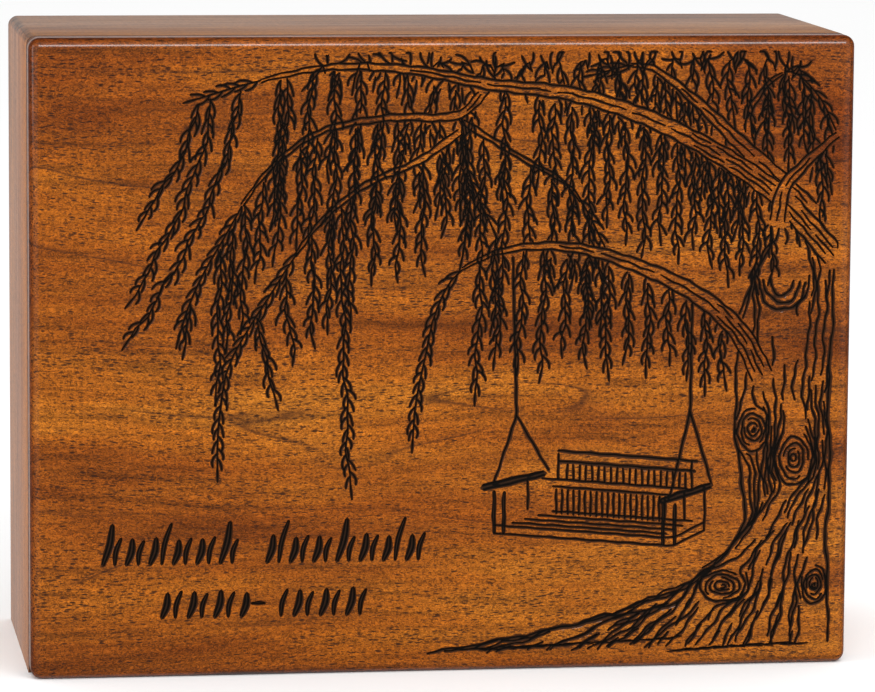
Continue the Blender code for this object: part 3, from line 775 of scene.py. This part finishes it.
def strand_line(start, drop, swing, number, arch=0.0):
    """The middle line of one hanging strand, which may arch up first, swings out and then falls."""
    points = [start + Vector((arch, -1.1 * abs(arch))), start + Vector((0.6 * arch, 0.1))] if arch else []
    for i in range(STRAND_STEPS + 1):
        t = i / STRAND_STEPS
        points.append(Vector((start.x - swing * t ** SWING_POWER, start.y - drop * t)))
    wave = STRAND_WAVE * mix(0.8, 1.3, share(number))
    return wobble(evenly(points, STRAND_PITCH), STRAND_SWAY, wave, number)


def draw_leaf(start, direction, side, length, number):
    """One leaf: a hook that leaves the stem, bows out and comes down beside it."""
    across = beside(direction) * side
    reach = mix(*LEAF_REACH, share(number, 0.1))
    tip = reach * mix(0.75, 1.25, share(number, 0.7))
    bow = [start + direction * length * down + across * reach * out for down, out in LEAF_BOW]
    hook = [start, *bow, start + direction * length + across * tip]
    engrave_seen(smooth_line(hook, 2), LEAF_LINE, ends=0.75)


def draw_strand(line, number):
    """A stem and its leaves, left and right in turn, a little smaller towards the end."""
    total = length_of(line)
    engrave_seen(line, STEM_LINE, ends=0.8)
    end, direction = along(line, 1.0)
    engrave_seen([end + direction * step for step in TIP_LEAF], LEAF_LINE, ends=0.6)
    count = max(3, round((total - 0.6 * LEAF_LENGTH) / LEAF_PITCH))
    for i in range(count):
        amount = (i + 0.5 * share(number + i, 0.2)) / count * (1 - 0.6 * LEAF_LENGTH / total)
        spot, direction = along(line, amount)
        length = LEAF_LENGTH * mix(1.05, 0.80, i / count) * mix(0.8, 1.15, share(number + i, 0.3))
        draw_leaf(spot, direction, 1 if (i + number) % 2 else -1, length, number + i)
    return count


curtain_lines = {name: smooth_line(points, CURVE_STEPS) for name, (points, *_) in BOUGHS.items()}
curtain_lines["brim"] = smooth_line(BRIM, CURVE_STEPS)
leaf_count = strand_count = 0
for name, first, last, count, drop_a, drop_b, swing_a, swing_b in CURTAINS:
    for i in range(count):
        amount = i / max(1, count - 1)
        start = along(curtain_lines[name], mix(first, last, amount))[0] - Vector((0, STRAND_TOP))
        drop = mix(drop_a, drop_b, amount) * (1 + STRAND_SPREAD * (share(strand_count) - 0.5))
        arch = 0.0
        if name == "brim":
            arch = BRIM_ARCH * mix(0.6, 1.3, share(i)) * (1 if share(i, 0.5) > 0.3 else -1)
        line = strand_line(start, drop, mix(swing_a, swing_b, amount), strand_count, arch)
        leaf_count += draw_strand(line, leaf_count)
        strand_count += 1
for name, first in LEAFY_TIPS.items():
    stops = [mix(first, 1.0, i / TIP_STEPS) for i in range(TIP_STEPS + 1)]
    tip_line = [along(curtain_lines[name], stop)[0] for stop in stops]
    leaf_count += draw_strand(tip_line, leaf_count)
print("strands:", strand_count, "leaves:", leaf_count)

# %% [markdown]
# The trunk has two outlines, from the crown of the tree down to the ground, where the left one runs
# out along a root. Lines of bark are shares of the way from one outline to the other. Where a knot
# lies, they are pushed aside, as grain grows round a branch that was lost, and rings fill the knot.
# Towards the roots the trunk spreads, so more lines start between the first ones.

# %% Drawing, trunk and knots
TRUNK_LEFT = [(229, 142), (228, 132), (223, 121), (218.5, 109), (218, 90), (218, 72), (220.5, 56),
              (220.5, 43), (213, 33), (204.5, 26), (199, 19.5), (184, 17), (166, 13.5), (145, 9.5),
              (122, 5.8)]
TRUNK_RIGHT = [(235, 140), (242, 134), (247.5, 126), (248, 108), (247, 84), (248, 60), (247, 40),
               (248, 22), (248, 7)]
TRUNK_STEPS = 140
TRUNK_EDGE = 0.86
KNOTS = [(223.5, 74, 4.0, 5.4), (236.5, 65, 4.8, 7.0), (214.5, 25, 5.8, 3.9), (243.5, 25, 3.2, 5.0)]
HOLLOW = (232.0, 121.0, 5.8, 7.5)
CLEARING = (235.0, 103.0, 3.4, 5.2)
KNOT_REACH = 1.35
KNOT_RINGS = (1.22, 0.93, 0.66, 0.40, 0.16)
HOLLOW_ARCS = (1.3, 1.0, 0.66)
HOLLOW_TURN = (math.radians(182), math.radians(352))
BARK_SETS = [(4, 1.0, 0.0, 0.09), (9, 1.0, 0.06, 1.0), (5, 1.5, 0.10, 0.22), (9, 1.5, 0.34, 1.0),
             (15, 0.75, 0.62, 1.0), (14, 0.55, 0.82, 0.99)]
BARK_LONG = (0.06, 0.27)
BARK_STEP = 0.0125
BARK_LINE = 0.64
BARK_JUMP = 6.0
BARK_APART = 1.1
BARK_STAGGER = 0.06
BARK_PAUSE = (0.010, 0.022)
BARK_DRIFT = 0.014
BARK_SHAKE = (0.45, 15.0)
OUTLINE_PITCH = 2.4
KNOT_SHAKE = (0.22, 8.0)
ARC_SHAKE = (0.35, 11.0)
ARC_SIDES = 16
GROUND_SHAKE = (0.3, 13.0)
GROUND_STROKES = 22
GROUND_SPAN = (132, 232)
GROUND_HEIGHT = (5.0, 9.0)
GROUND_LINE = 0.5


def around_knots(point):
    """Pushes a point of the bark out of the knots, so that the grain flows round them."""
    moved = point.copy()
    for x, y, half_x, half_y in KNOTS + [HOLLOW, CLEARING]:
        wide, high = half_x * KNOT_REACH, half_y * KNOT_REACH
        offset = Vector(((moved.x - x) / wide, (moved.y - y) / high))
        if offset.length > 0.01:
            offset *= (offset.length ** 3 + 1) ** (1 / 3) / offset.length
            moved = Vector((x + offset.x * wide, y + offset.y * high))
    return moved


left_outline = smooth_line(TRUNK_LEFT, 5)
right_outline = smooth_line(TRUNK_RIGHT, 5)
left_steps = [along(left_outline, i / TRUNK_STEPS)[0] for i in range(TRUNK_STEPS + 1)]
right_steps = [along(right_outline, i / TRUNK_STEPS)[0] for i in range(TRUNK_STEPS + 1)]
for number, (outline, wave) in enumerate(((left_outline, 17.0), (right_outline, 19.0)), 1):
    engrave_seen(wobble(evenly(outline, OUTLINE_PITCH), 0.3, wave, number), TRUNK_EDGE, swell=0.5)


def bark_piece(across, first, last, number):
    """A piece of one bark line, between two shares of the trunk's height."""
    line = []
    steps = max(3, round((last - first) / BARK_STEP))
    for step in range(steps + 1):
        place = min(mix(first, last, step / steps) * TRUNK_STEPS, TRUNK_STEPS - 0.001)
        near, rest = int(place), place % 1.0
        left_spot = left_steps[near].lerp(left_steps[near + 1], rest)
        right_spot = right_steps[near].lerp(right_steps[near + 1], rest)
        line.append(around_knots(left_spot.lerp(right_spot, across)))
    return wobble(line, *BARK_SHAKE, number)


def has_room(piece, first, number):
    """Whether a piece is kept. Where the bark lines run close, along the root, only some of them are."""
    near = min(TRUNK_STEPS, round(first * TRUNK_STEPS))
    across = right_steps[near] - left_steps[near]
    apart = abs((piece[-1] - piece[0]).normalized().cross(across))
    lines = sum(count for count, _, low, high in BARK_SETS if low <= first < high)
    return share(number, 0.33) < apart / (BARK_APART * lines)


bark_count = 0
for count, shift, first, last in BARK_SETS:
    for i in range(count):
        start = mix(first, first + BARK_STAGGER, share(i, 0.4))
        while start < last - 0.02:
            reach = mix(*BARK_LONG, share(bark_count))
            stop = min(last, start + reach)
            across = (i + shift) / (count + 1) + BARK_DRIFT * (share(bark_count, 0.6) - 0.5)
            piece = bark_piece(across, start, stop, bark_count)
            even = max((b - a).length for a, b in zip(piece, piece[1:])) < BARK_JUMP
            if even and has_room(piece, start, bark_count):
                engrave_seen(piece, BARK_LINE, swell=0.45)
            start = stop + mix(*BARK_PAUSE, share(bark_count, 0.8))
            bark_count += 1


def oval_arc(oval, ring, first, last, sides):
    """An arc round an oval's middle, at a share of its size, between two angles."""
    x, y, half_x, half_y = oval
    turns = [mix(first, last, i / sides) for i in range(sides + 1)]
    return [Vector((x + half_x * ring * math.cos(a), y + half_y * ring * math.sin(a))) for a in turns]


for knot in KNOTS:
    for number, ring in enumerate(KNOT_RINGS):
        first = math.tau * share(number, 0.01 * knot[0])
        last = first + math.tau * mix(0.97, 0.80, ring / KNOT_RINGS[0])
        oval = oval_arc(knot, ring, first, last, round(mix(8, 26, ring)))
        engrave(wobble(oval, *KNOT_SHAKE, number + round(knot[0])), BARK_LINE, swell=0.4)
for ring in HOLLOW_ARCS:
    arc = oval_arc(HOLLOW, ring, *HOLLOW_TURN, ARC_SIDES)
    engrave(wobble(arc, *ARC_SHAKE, len(strokes)), TRUNK_EDGE, swell=0.6)
for i in range(GROUND_STROKES):
    start = Vector((mix(*GROUND_SPAN, share(i)), mix(*GROUND_HEIGHT, share(i, 0.37))))
    stroke = [start + Vector((step, 0.03 * step)) for step in range(0, round(mix(6, 17, share(i, 0.7))), 2)]
    engrave(wobble(stroke, *GROUND_SHAKE, i), GROUND_LINE, ends=0.4, swell=0.5)
print("bark lines:", bark_count, "strokes so far:", len(strokes))

# %% [markdown]
# The swing is a slatted bench seen a little from its left. A small function turns a place on the
# bench (along it, above the ground line of its feet, towards its back) into a place on the board, so
# every rail and slat is one short line of code and stays parallel to the others. The arms and the
# front posts are wide strokes with a flat floor, and the two top rails a little wider than the rest.

# %% Drawing, swing
SWING_LEFT = 142.5
SWING_RIGHT = 198.0
SWING_FOOT = 43.0
SWING_SLOPE = -0.09
SWING_BACK = Vector((10.5, 4.8))
SEAT_TOP = 2.5
SEAT_BOARDS = (0.22, 0.46, 0.72, 1.0)
ARM_HEIGHT = 14.0
ARMS = ((-0.06, 0.09), (0.95, 1.03))
FRONT_POSTS = (0.0, 0.055, 0.955, 1.02)
REAR_POSTS = ((1.0, 0.0, 13.5), (0.885, 3.0, 11.5), (0.0, 2.5, 12.0), (0.17, 12.5, 20.5),
              (0.925, 12.5, 21.0))
BACK_RAILS = ((0.17, 0.955, 21.4, 0.8), (0.18, 0.94, 18.2, 0.85), (0.08, 0.90, 12.5, 0.6),
              (0.14, 0.80, 10.2, 0.6))
SLAT_SETS = ((0.22, 0.89, 20, 12.9, 17.4), (0.16, 0.775, 20, 1.9, 9.4))
ROPES = ((-0.005, 0.115, 149.3, 79.5, -1.6, 49.0), (0.99, 1.035, 203.6, 80.0, 0.2, 36.0))
BENCH_LINE = 0.58
POST_LINE = 0.78
ARM_LINE = 1.45
ROPE_LINE = 0.72
ARM_FLOOR = 0.62
POST_FLOOR = 0.4
ROPE_FOOT = 1.2
BENCH_PITCH = 2.6
BENCH_SHAKE = (0.1, 9.0)


def bench(across, up, back=0.0):
    """A point of the bench: a share of its length, a height above its feet, a share of its depth."""
    x = mix(SWING_LEFT, SWING_RIGHT, across) + SWING_BACK.x * back
    return Vector((x, SWING_FOOT + SWING_SLOPE * (x - SWING_LEFT) + SWING_BACK.y * back * 1.2 + up))


bench_lines = []


def bench_line(spots, half, floor=0.0):
    """Notes one line of the bench, with half its width and the share of it that is a flat floor."""
    bench_lines.append((spots, half, floor))


for up in (0.0, SEAT_TOP):
    bench_line([bench(0, up), bench(1.01, up), bench(1, up, 1)], BENCH_LINE)
for back in SEAT_BOARDS:
    bench_line([bench(0.04 + 0.1 * back, SEAT_TOP, back), bench(0.93, SEAT_TOP, back)], BENCH_LINE)
for first, last, up, half in BACK_RAILS:
    bench_line([bench(first, up, 1), bench(last, up, 1)], half)
for across in FRONT_POSTS:
    bench_line([bench(across, 0.4), bench(across, ARM_HEIGHT - 1.0)], POST_LINE, POST_FLOOR)
for across, low, high in REAR_POSTS:
    bench_line([bench(across, low, 1), bench(across, high, 1)], BENCH_LINE)
for first, last, count, low, high in SLAT_SETS:
    for i in range(count):
        across = mix(first, last, i / (count - 1))
        bench_line([bench(across, low, 1), bench(across, high, 1)], BENCH_LINE)
for front, rear in ARMS:
    bench_line([bench(front, ARM_HEIGHT), bench(rear, ARM_HEIGHT, 1)], ARM_LINE, ARM_FLOOR)
for front, rear, knot_x, knot_y, lean, rope in ROPES:
    knot = Vector((knot_x, knot_y))
    bench_line([bench(front, ARM_HEIGHT + ROPE_FOOT), knot, knot + Vector((lean, rope))], ROPE_LINE)
    bench_line([bench(rear, ARM_HEIGHT + ROPE_FOOT, 1), knot], ROPE_LINE)
for line, half, floor in bench_lines:
    shaken = wobble(evenly(line, BENCH_PITCH), *BENCH_SHAKE, len(strokes))
    engrave_seen(shaken, half, floor=floor, ends=0.8, swell=0.25)
print("bench lines:", len(bench_lines))

# %% [markdown]
# Two rows of strokes fill the lower left of the board. They spell nothing: every stroke is the same
# slanting, swelling cut, with a tall one now and then in the upper row, which gives the rows a weight
# and a rhythm without a single letter. Their floor is wide and flat.

# %% Drawing, rows of strokes
ROWS = [(22.0, 119.0, 35.3, 8.2, 28, 5, (12, 13)), (40.0, 101.0, 18.6, 8.2, 16, 0, (7, 8))]
TALL_FACTOR = 1.65
STROKE_SLANT = 0.24
STROKE_BOW = 0.6
STROKE_HALVES = (1.35, 0.95)
ROW_DEPTH = 0.7
ROW_FLOOR = 0.5
DASH = [(67.6, 22.6), (69.6, 22.7), (71.6, 22.6)]
DASH_LINE = 0.7

for row_left, row_right, foot, height, count, tall_every, gap in ROWS:
    for i in range(count):
        if i in gap:
            continue
        tall = TALL_FACTOR if tall_every and i % tall_every == 0 else 1.0
        reach = height * tall * mix(0.86, 1.0, share(i, 0.3))
        low = Vector((mix(row_left, row_right, i / (count - 1)), foot))
        rise = Vector((STROKE_SLANT * reach, reach))
        bow = Vector((STROKE_BOW * (-1) ** i, 0))
        line = smooth_line([low, low + rise / 2 + bow, low + rise], 4)
        last = len(line) - 1
        halves = [STROKE_HALVES[i % 2] * math.sin(math.pi * mix(0.12, 0.88, j / last)) ** 0.6
                  for j in range(last + 1)]
        strokes.append((line, halves, ROW_DEPTH, ROW_FLOOR))
engrave([Vector(spot) for spot in DASH], DASH_LINE, depth=ROW_DEPTH, floor=ROW_FLOOR)
print("strokes in the whole drawing:", len(strokes))

# %% [markdown]
# Now the drawing becomes a carved surface. A Boolean with thousands of small cutters would do it, but
# slowly. A carved face is really a flat sheet that dips along its strokes, so it can be made in one
# go: every stroke gives its rim, its middle and, if it is wide, the edges of its floor as lines, and
# a constrained Delaunay triangulation joins all the lines, with a new point wherever two cross. After
# that each point only has to be pushed in, as deep as the deepest stroke that runs over it. Beside the
# sharp corner of a stroke a point would pull a long sliver of the flat face in with it, so every point
# of a triangle whose middle no stroke covers stays level.

# %% Carving, the lines
CELL = 2.0
FLOOR_CHAR = 0.6
SHALLOW = 0.12


def stroke_rails(line, halves, floor):
    """The parallel lines of one stroke, its rims, the edges of its floor and its middle, and its tips."""
    offsets = (-1.0, -floor, 0.0, floor, 1.0) if floor else (-1.0, 0.0, 1.0)
    last = len(line) - 1
    rails = [[] for _ in offsets]
    for i, (spot, half) in enumerate(zip(line, halves)):
        before, after = line[max(i - 1, 0)], line[min(i + 1, last)]
        direction = (after - before if (after - before).length > NEAR else after - spot).normalized()
        for rail, offset in zip(rails, offsets):
            rail.append(spot + beside(direction) * half * offset)
    first_tip = line[0] + (line[0] - line[1]).normalized() * halves[0]
    last_tip = line[-1] + (line[-1] - line[-2]).normalized() * halves[-1]
    return rails, first_tip, last_tip


def lay_out(outline):
    """All points and edges of the drawing inside the outline of the board's flat face."""
    points = [Vector(corner) for corner in outline]
    edges = [(i, (i + 1) % len(outline)) for i in range(len(outline))]
    for line, halves, _, floor in strokes:
        rails, *tips = stroke_rails(line, halves, floor)
        numbers = []
        for rail in rails:
            numbers.append(range(len(points), len(points) + len(rail)))
            points.extend(rail)
            edges.extend(zip(numbers[-1], numbers[-1][1:]))
        for tip, end in zip(tips, (0, -1)):
            points.append(tip)
            ends = [number[end] for number in numbers]
            edges.extend(zip(ends, ends[1:]))
            edges.extend((number, len(points) - 1) for number in ends)
    return points, edges


def squares(first, last, reach):
    """The rows or columns of squares that a stretch touches, with its reach on both sides."""
    return range(int((min(first, last) - reach) // CELL), int((max(first, last) + reach) // CELL) + 1)


def segment_grid():
    """The strokes' segments, filed by the squares of the board that they touch."""
    grid = {}
    for line, halves, depth, floor in strokes:
        for a, b, half_a, half_b in zip(line, line[1:], halves, halves[1:]):
            reach = max(half_a, half_b)
            for column in squares(a.x, b.x, reach):
                for row in squares(a.y, b.y, reach):
                    grid.setdefault((column, row), []).append((a, b - a, half_a, half_b, depth, floor))
    return grid


def depth_at(grid, x, y, least=SHALLOW):
    """How deep the carving is at a point, in millimetres and as a share of its stroke's depth."""
    deepest, burnt = 0.0, 0.0
    for a, run, half_a, half_b, depth, floor in grid.get((int(x // CELL), int(y // CELL)), ()):
        dx, dy = x - a.x, y - a.y
        t = max(0.0, min(1.0, (dx * run.x + dy * run.y) / (run.length_squared or 1.0)))
        distance = math.hypot(dx - run.x * t, dy - run.y * t)
        inside = 1.0 - distance / mix(half_a, half_b, t)
        if inside > least:
            wall = min(1.0, inside / (1.0 - floor))
            bare = max(0.0, inside - (1.0 - floor)) / (floor or 1.0)
            deepest = max(deepest, depth * wall)
            burnt = max(burnt, mix(wall, FLOOR_CHAR, bare))
    return deepest, burnt


print("lines for the carving are laid out by", lay_out.__name__)

# %% [markdown]
# The board itself starts as a cube. Its front edges and its four corners are rounded with a bevel. A
# router leaves a faint step where its rounding meets the flat, so the face is inset and the ring round
# it set back a little. Then the flat front face is taken out, and the carved sheet goes into the hole.
# Both have the same corner points there, so merging the doubles closes the board again.

# %% The front board
EDGE_RADIUS = 0.0034
STEP_WIDTH = 0.0002
STEP_DEPTH = 0.00003
BACK_EASE = 0.0004
ROUND_STEPS = 8
CASE_RADIUS = 0.0030
SOFT_EDGE = 0.0004
BASE_PLAY = 0.0002
MERGE = 1e-6
CDT_MERGE = 0.004
SHARP = math.radians(36)


def new_board(low, high):
    """A bmesh board between two corners."""
    bm = bmesh.new()
    size = Vector(high) - Vector(low)
    place = Matrix.Translation((Vector(low) + Vector(high)) / 2) @ Matrix.Diagonal(size.to_4d())
    bmesh.ops.create_cube(bm, size=1.0, matrix=place)
    return bm


def round_over(bm, edges, radius, steps=ROUND_STEPS):
    """Rounds edges as a router does."""
    bmesh.ops.bevel(bm, geom=edges, offset=radius, offset_type="OFFSET", segments=steps, profile=0.5,
                    affect="EDGES", clamp_overlap=True, material=-1)


def soften(bm, limit=SHARP):
    """Smooth faces, with the steep edges left sharp."""
    for face in bm.faces:
        face.smooth = True
    for edge in bm.edges:
        edge.smooth = edge.calc_face_angle(0.0) < limit


def place_piece(name, bm, material, node):
    """Makes the object with the given finish, hangs it on the root and hides the imported node it stands
    for.
    """
    mesh = bpy.data.meshes.new(name)
    bm.to_mesh(mesh)
    bm.free()
    mesh.materials.append(material)
    piece = bpy.data.objects.new(name, mesh)
    bpy.context.scene.collection.objects.link(piece)
    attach(piece, "root")
    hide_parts(node)
    return piece


def edges_at(bm, depth):
    """The edges that lie at one depth of the box."""
    return [e for e in bm.edges if all(abs(v.co.y - depth) < MERGE for v in e.verts)]


def level_points(points, faces, grid):
    """The points that stay in the flat face, because a triangle beside them is outside the strokes."""
    level = set()
    for face in faces:
        middle = sum((points[i] for i in face), Vector((0, 0))) / len(face)
        if not depth_at(grid, *middle, 0.0)[0]:
            level.update(face)
    return level


def carve_front():
    """The front board, its flat face replaced by the carved sheet."""
    low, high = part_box("front_panel")
    bm = new_board(low, high)
    behind = edges_at(bm, high[1])
    round_over(bm, [e for e in bm.edges if e not in behind], EDGE_RADIUS)
    round_over(bm, edges_at(bm, high[1]), BACK_EASE, 2)
    flat = max((f for f in bm.faces if f.normal.y < -0.99), key=lambda f: f.calc_area())
    ring = bmesh.ops.inset_region(bm, faces=[flat], thickness=STEP_WIDTH, depth=0.0)["faces"]
    rim = {v for face in ring for v in face.verts} - set(flat.verts)
    bmesh.ops.translate(bm, verts=list(rim), vec=(0, STEP_DEPTH, 0))
    corners = [v.co.copy() for v in flat.verts]
    bmesh.ops.delete(bm, geom=[flat], context="FACES_ONLY")

    def to_grid(co):
        return Vector(((co.x - low[0]) / WIDTH * GRID_WIDTH, (co.z - low[2]) / HEIGHT * GRID_HEIGHT))

    points, edges = lay_out([to_grid(co) for co in corners])
    sheet_points, _, sheet_faces, *_ = delaunay_2d_cdt(points, edges, [], 0, CDT_MERGE)
    grid = segment_grid()
    level = level_points(sheet_points, sheet_faces, grid)
    burn = bm.verts.layers.float.new(BURN)
    made = []
    for number, spot in enumerate(sheet_points):
        depth, burnt = (0.0, 0.0) if number in level else depth_at(grid, *spot)
        vert = bm.verts.new((low[0] + spot.x / GRID_WIDTH * WIDTH, low[1] + depth / 1000,
                             low[2] + spot.y / GRID_HEIGHT * HEIGHT))
        vert[burn] = burnt
        made.append(vert)
    for face in sheet_faces:
        bm.faces.new([made[i] for i in face])
    bmesh.ops.remove_doubles(bm, verts=bm.verts, dist=MERGE)
    bmesh.ops.triangulate(bm, faces=[f for f in bm.faces if len(f.verts) > 4])
    bmesh.ops.recalc_face_normals(bm, faces=bm.faces)
    soften(bm)
    for edge in bm.edges:
        carved = [any(v[burn] > 0 for v in face.verts) for face in edge.link_faces]
        if any(carved) and not all(carved):
            edge.smooth = False
    open_edges = sum(1 for e in bm.edges if len(e.link_faces) != 2)
    print("carved board:", len(bm.faces), "faces,", open_edges, "open edges")
    return place_piece("carved_front_board", bm, front_wood, "front_panel")


carve_front()

# %% [markdown]
# The case behind the front board is four more boards and a base. A joiner would round the case after
# gluing it, so the rounding runs across both boards of a mitre. The same is done here: one block is
# rounded, and each board is what is left of it after a few straight cuts. The mitre is glued tight, so
# only a hair is left open there. Against the front board the edges are eased, which draws a dark line.

# %% The case, top and walls
MITRE_GAP = 0.00003
TOP_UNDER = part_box("top_board")[0][2]
WALL_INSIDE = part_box("right_side")[0][0]
CASE_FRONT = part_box("top_board")[0][1]


def cut_away(bm, point, normal):
    """Cuts with a plane, keeps the side that the normal points to and closes the cut."""
    geometry = bm.verts[:] + bm.edges[:] + bm.faces[:]
    cut = bmesh.ops.bisect_plane(bm, geom=geometry, plane_co=point, plane_no=normal, clear_inner=True)
    rim = [item for item in cut["geom_cut"] if isinstance(item, bmesh.types.BMEdge)]
    bmesh.ops.contextual_create(bm, geom=rim)


def case_block():
    """The outside of the case, its two long top edges rounded and its front edges eased."""
    bm = new_board((BOX_LOW.x, CASE_FRONT, 0), BOX_HIGH)
    long_edges = [e for e in bm.edges if abs((e.verts[0].co - e.verts[1].co).y) > DEPTH / 4]
    round_over(bm, [e for e in long_edges if e.verts[0].co.z > HEIGHT / 2], CASE_RADIUS)
    for end, ease in ((CASE_FRONT, BACK_EASE), (BOX_HIGH.y, SOFT_EDGE)):
        round_over(bm, edges_at(bm, end), ease, 2)
    return bm


def boolean_cut(piece, cutters):
    """Takes the cutters out of a finished piece, then removes them."""
    for cutter in cutters:
        modifier = piece.modifiers.new("cut", "BOOLEAN")
        modifier.operation, modifier.solver, modifier.object = "DIFFERENCE", "EXACT", cutter
    depsgraph = bpy.context.evaluated_depsgraph_get()
    cut_mesh = bpy.data.meshes.new_from_object(piece.evaluated_get(depsgraph))
    piece.modifiers.clear()
    piece.data = cut_mesh
    for cutter in cutters:
        bpy.data.objects.remove(cutter)


def loose_object(bm):
    """A helper object for a cut, which is gone before the end."""
    mesh = bpy.data.meshes.new("cutter")
    bm.to_mesh(mesh)
    bm.free()
    cutter = bpy.data.objects.new("cutter", mesh)
    bpy.context.scene.collection.objects.link(cutter)
    return cutter


mitre = Vector((BOX_HIGH.z - TOP_UNDER, 0, BOX_HIGH.x - WALL_INSIDE))
bm = case_block()
cut_away(bm, (0, 0, TOP_UNDER), (0, 0, 1))
for side in (-1, 1):
    cut_away(bm, (side * (BOX_HIGH.x - MITRE_GAP), 0, BOX_HIGH.z), (-side * mitre.x, 0, mitre.z))
soften(bm)
place_piece("rounded_top_board", bm, top_wood, "top_board")

base_low, base_high = (Vector(corner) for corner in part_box("base_board"))
for side, node in ((-1, "left_side"), (1, "right_side")):
    bm = case_block()
    cut_away(bm, (side * WALL_INSIDE, 0, 0), (side, 0, 0))
    cut_away(bm, (side * BOX_HIGH.x, 0, BOX_HIGH.z - MITRE_GAP), (side * mitre.x, 0, -mitre.z))
    soften(bm)
    wall = place_piece("rounded_" + node, bm, lit_wall_wood, node)
    rebate = new_board((base_low.x - BASE_PLAY, -DEPTH, -BASE_PLAY),
                       (base_high.x + BASE_PLAY, base_high.y + BASE_PLAY, base_high.z + BASE_PLAY))
    boolean_cut(wall, [loose_object(rebate)])
print("top board and walls are cut from one block")

# %% [markdown]
# The back is a plain board let in between the walls, and the base lies in rebates under them. Four
# brass wood screws hold the base, because it is what comes off to fill the box. A screw is a turned
# part: one profile spun round its axis, and a slot cut across its head.

# %% The case, back, base and screws
SCREW_STEPS = 32
SCREW_LOW, SCREW_HIGH = (Vector(corner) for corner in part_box("base_screw_1"))
HEAD_RADIUS = (SCREW_HIGH.y - SCREW_LOW.y) / 2
SHANK_RADIUS = HEAD_RADIUS * 0.52
TIP_RADIUS = HEAD_RADIUS * 0.2
TIP_LENGTH = 0.003
SLOT_HALF = 0.0004
SLOT_DEPTH = 0.0007
SCREWS = 4
TARNISH_SCALE = 900.0
BRASS_TONES = [(0.35, (0.46, 0.30, 0.10)), (0.65, (0.72, 0.52, 0.22))]
BRASS_GLOSS = [(0.3, 0.42), (0.7, 0.26)]


def plain_board(name, node, wood, ease):
    """A flat board with all its edges eased."""
    low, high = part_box(node)
    bm = new_board(low, high)
    round_over(bm, bm.edges[:], ease, 2)
    soften(bm)
    return place_piece(name, bm, wood, node)


def screw_shape(place, length, extra=0.0):
    """A countersunk screw, its head down, spun from its profile and grown by the extra all round."""
    head, shank, tip = HEAD_RADIUS + extra, SHANK_RADIUS + extra, TIP_RADIUS + extra
    profile = [(0, 0), (head, 0), (shank, head - shank), (shank, length - TIP_LENGTH), (tip, length),
               (0, length)]
    bm = bmesh.new()
    verts = [bm.verts.new((radius, 0, height)) for radius, height in profile]
    edges = [bm.edges.new(pair) for pair in zip(verts, verts[1:])]
    bmesh.ops.spin(bm, geom=verts + edges, cent=(0, 0, 0), axis=(0, 0, 1), angle=math.tau,
                   steps=SCREW_STEPS, use_merge=True)
    bmesh.ops.remove_doubles(bm, verts=bm.verts, dist=MERGE)
    bmesh.ops.recalc_face_normals(bm, faces=bm.faces)
    bmesh.ops.translate(bm, verts=bm.verts, vec=place)
    return bm


def brass_finish():
    """Brass: a yellow metal, here and there a little duller."""
    material = bpy.data.materials.new("screw_brass")
    material.use_nodes = True
    tree = material.node_tree
    spots = {"Vector": object_place(tree), "Scale": TARNISH_SCALE, "Detail": 3.0}
    tarnish = add_node(tree, "ShaderNodeTexNoise", spots).outputs["Fac"]
    shader = tree.nodes["Principled BSDF"]
    shader.inputs["Metallic"].default_value = 1.0
    tree.links.new(ramp(tree, tarnish, BRASS_TONES), shader.inputs["Base Color"])
    tree.links.new(ramp(tree, tarnish, BRASS_GLOSS), shader.inputs["Roughness"])
    return material


plain_board("back_board", "back_panel", back_wood, SOFT_EDGE)
base = plain_board("base_board_eased", "base_board", base_wood, SOFT_EDGE)
brass = brass_finish()
for number in range(1, SCREWS + 1):
    node = f"base_screw_{number}"
    low, high = (Vector(corner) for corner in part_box(node))
    place = Vector(((low.x + high.x) / 2, (low.y + high.y) / 2, low.z))
    bm = screw_shape(place, high.z - low.z)
    soften(bm)
    screw = place_piece(f"brass_screw_{number}", bm, brass, node)
    slot = new_board(place - Vector((SLOT_HALF, 2 * HEAD_RADIUS, SLOT_DEPTH)),
                     place + Vector((SLOT_HALF, 2 * HEAD_RADIUS, SLOT_DEPTH)))
    boolean_cut(screw, [loose_object(slot)])
    boolean_cut(base, [loose_object(screw_shape(place - Vector((0, 0, MERGE)), high.z - low.z, BASE_PLAY))])
print("back, base and four screws are in place")
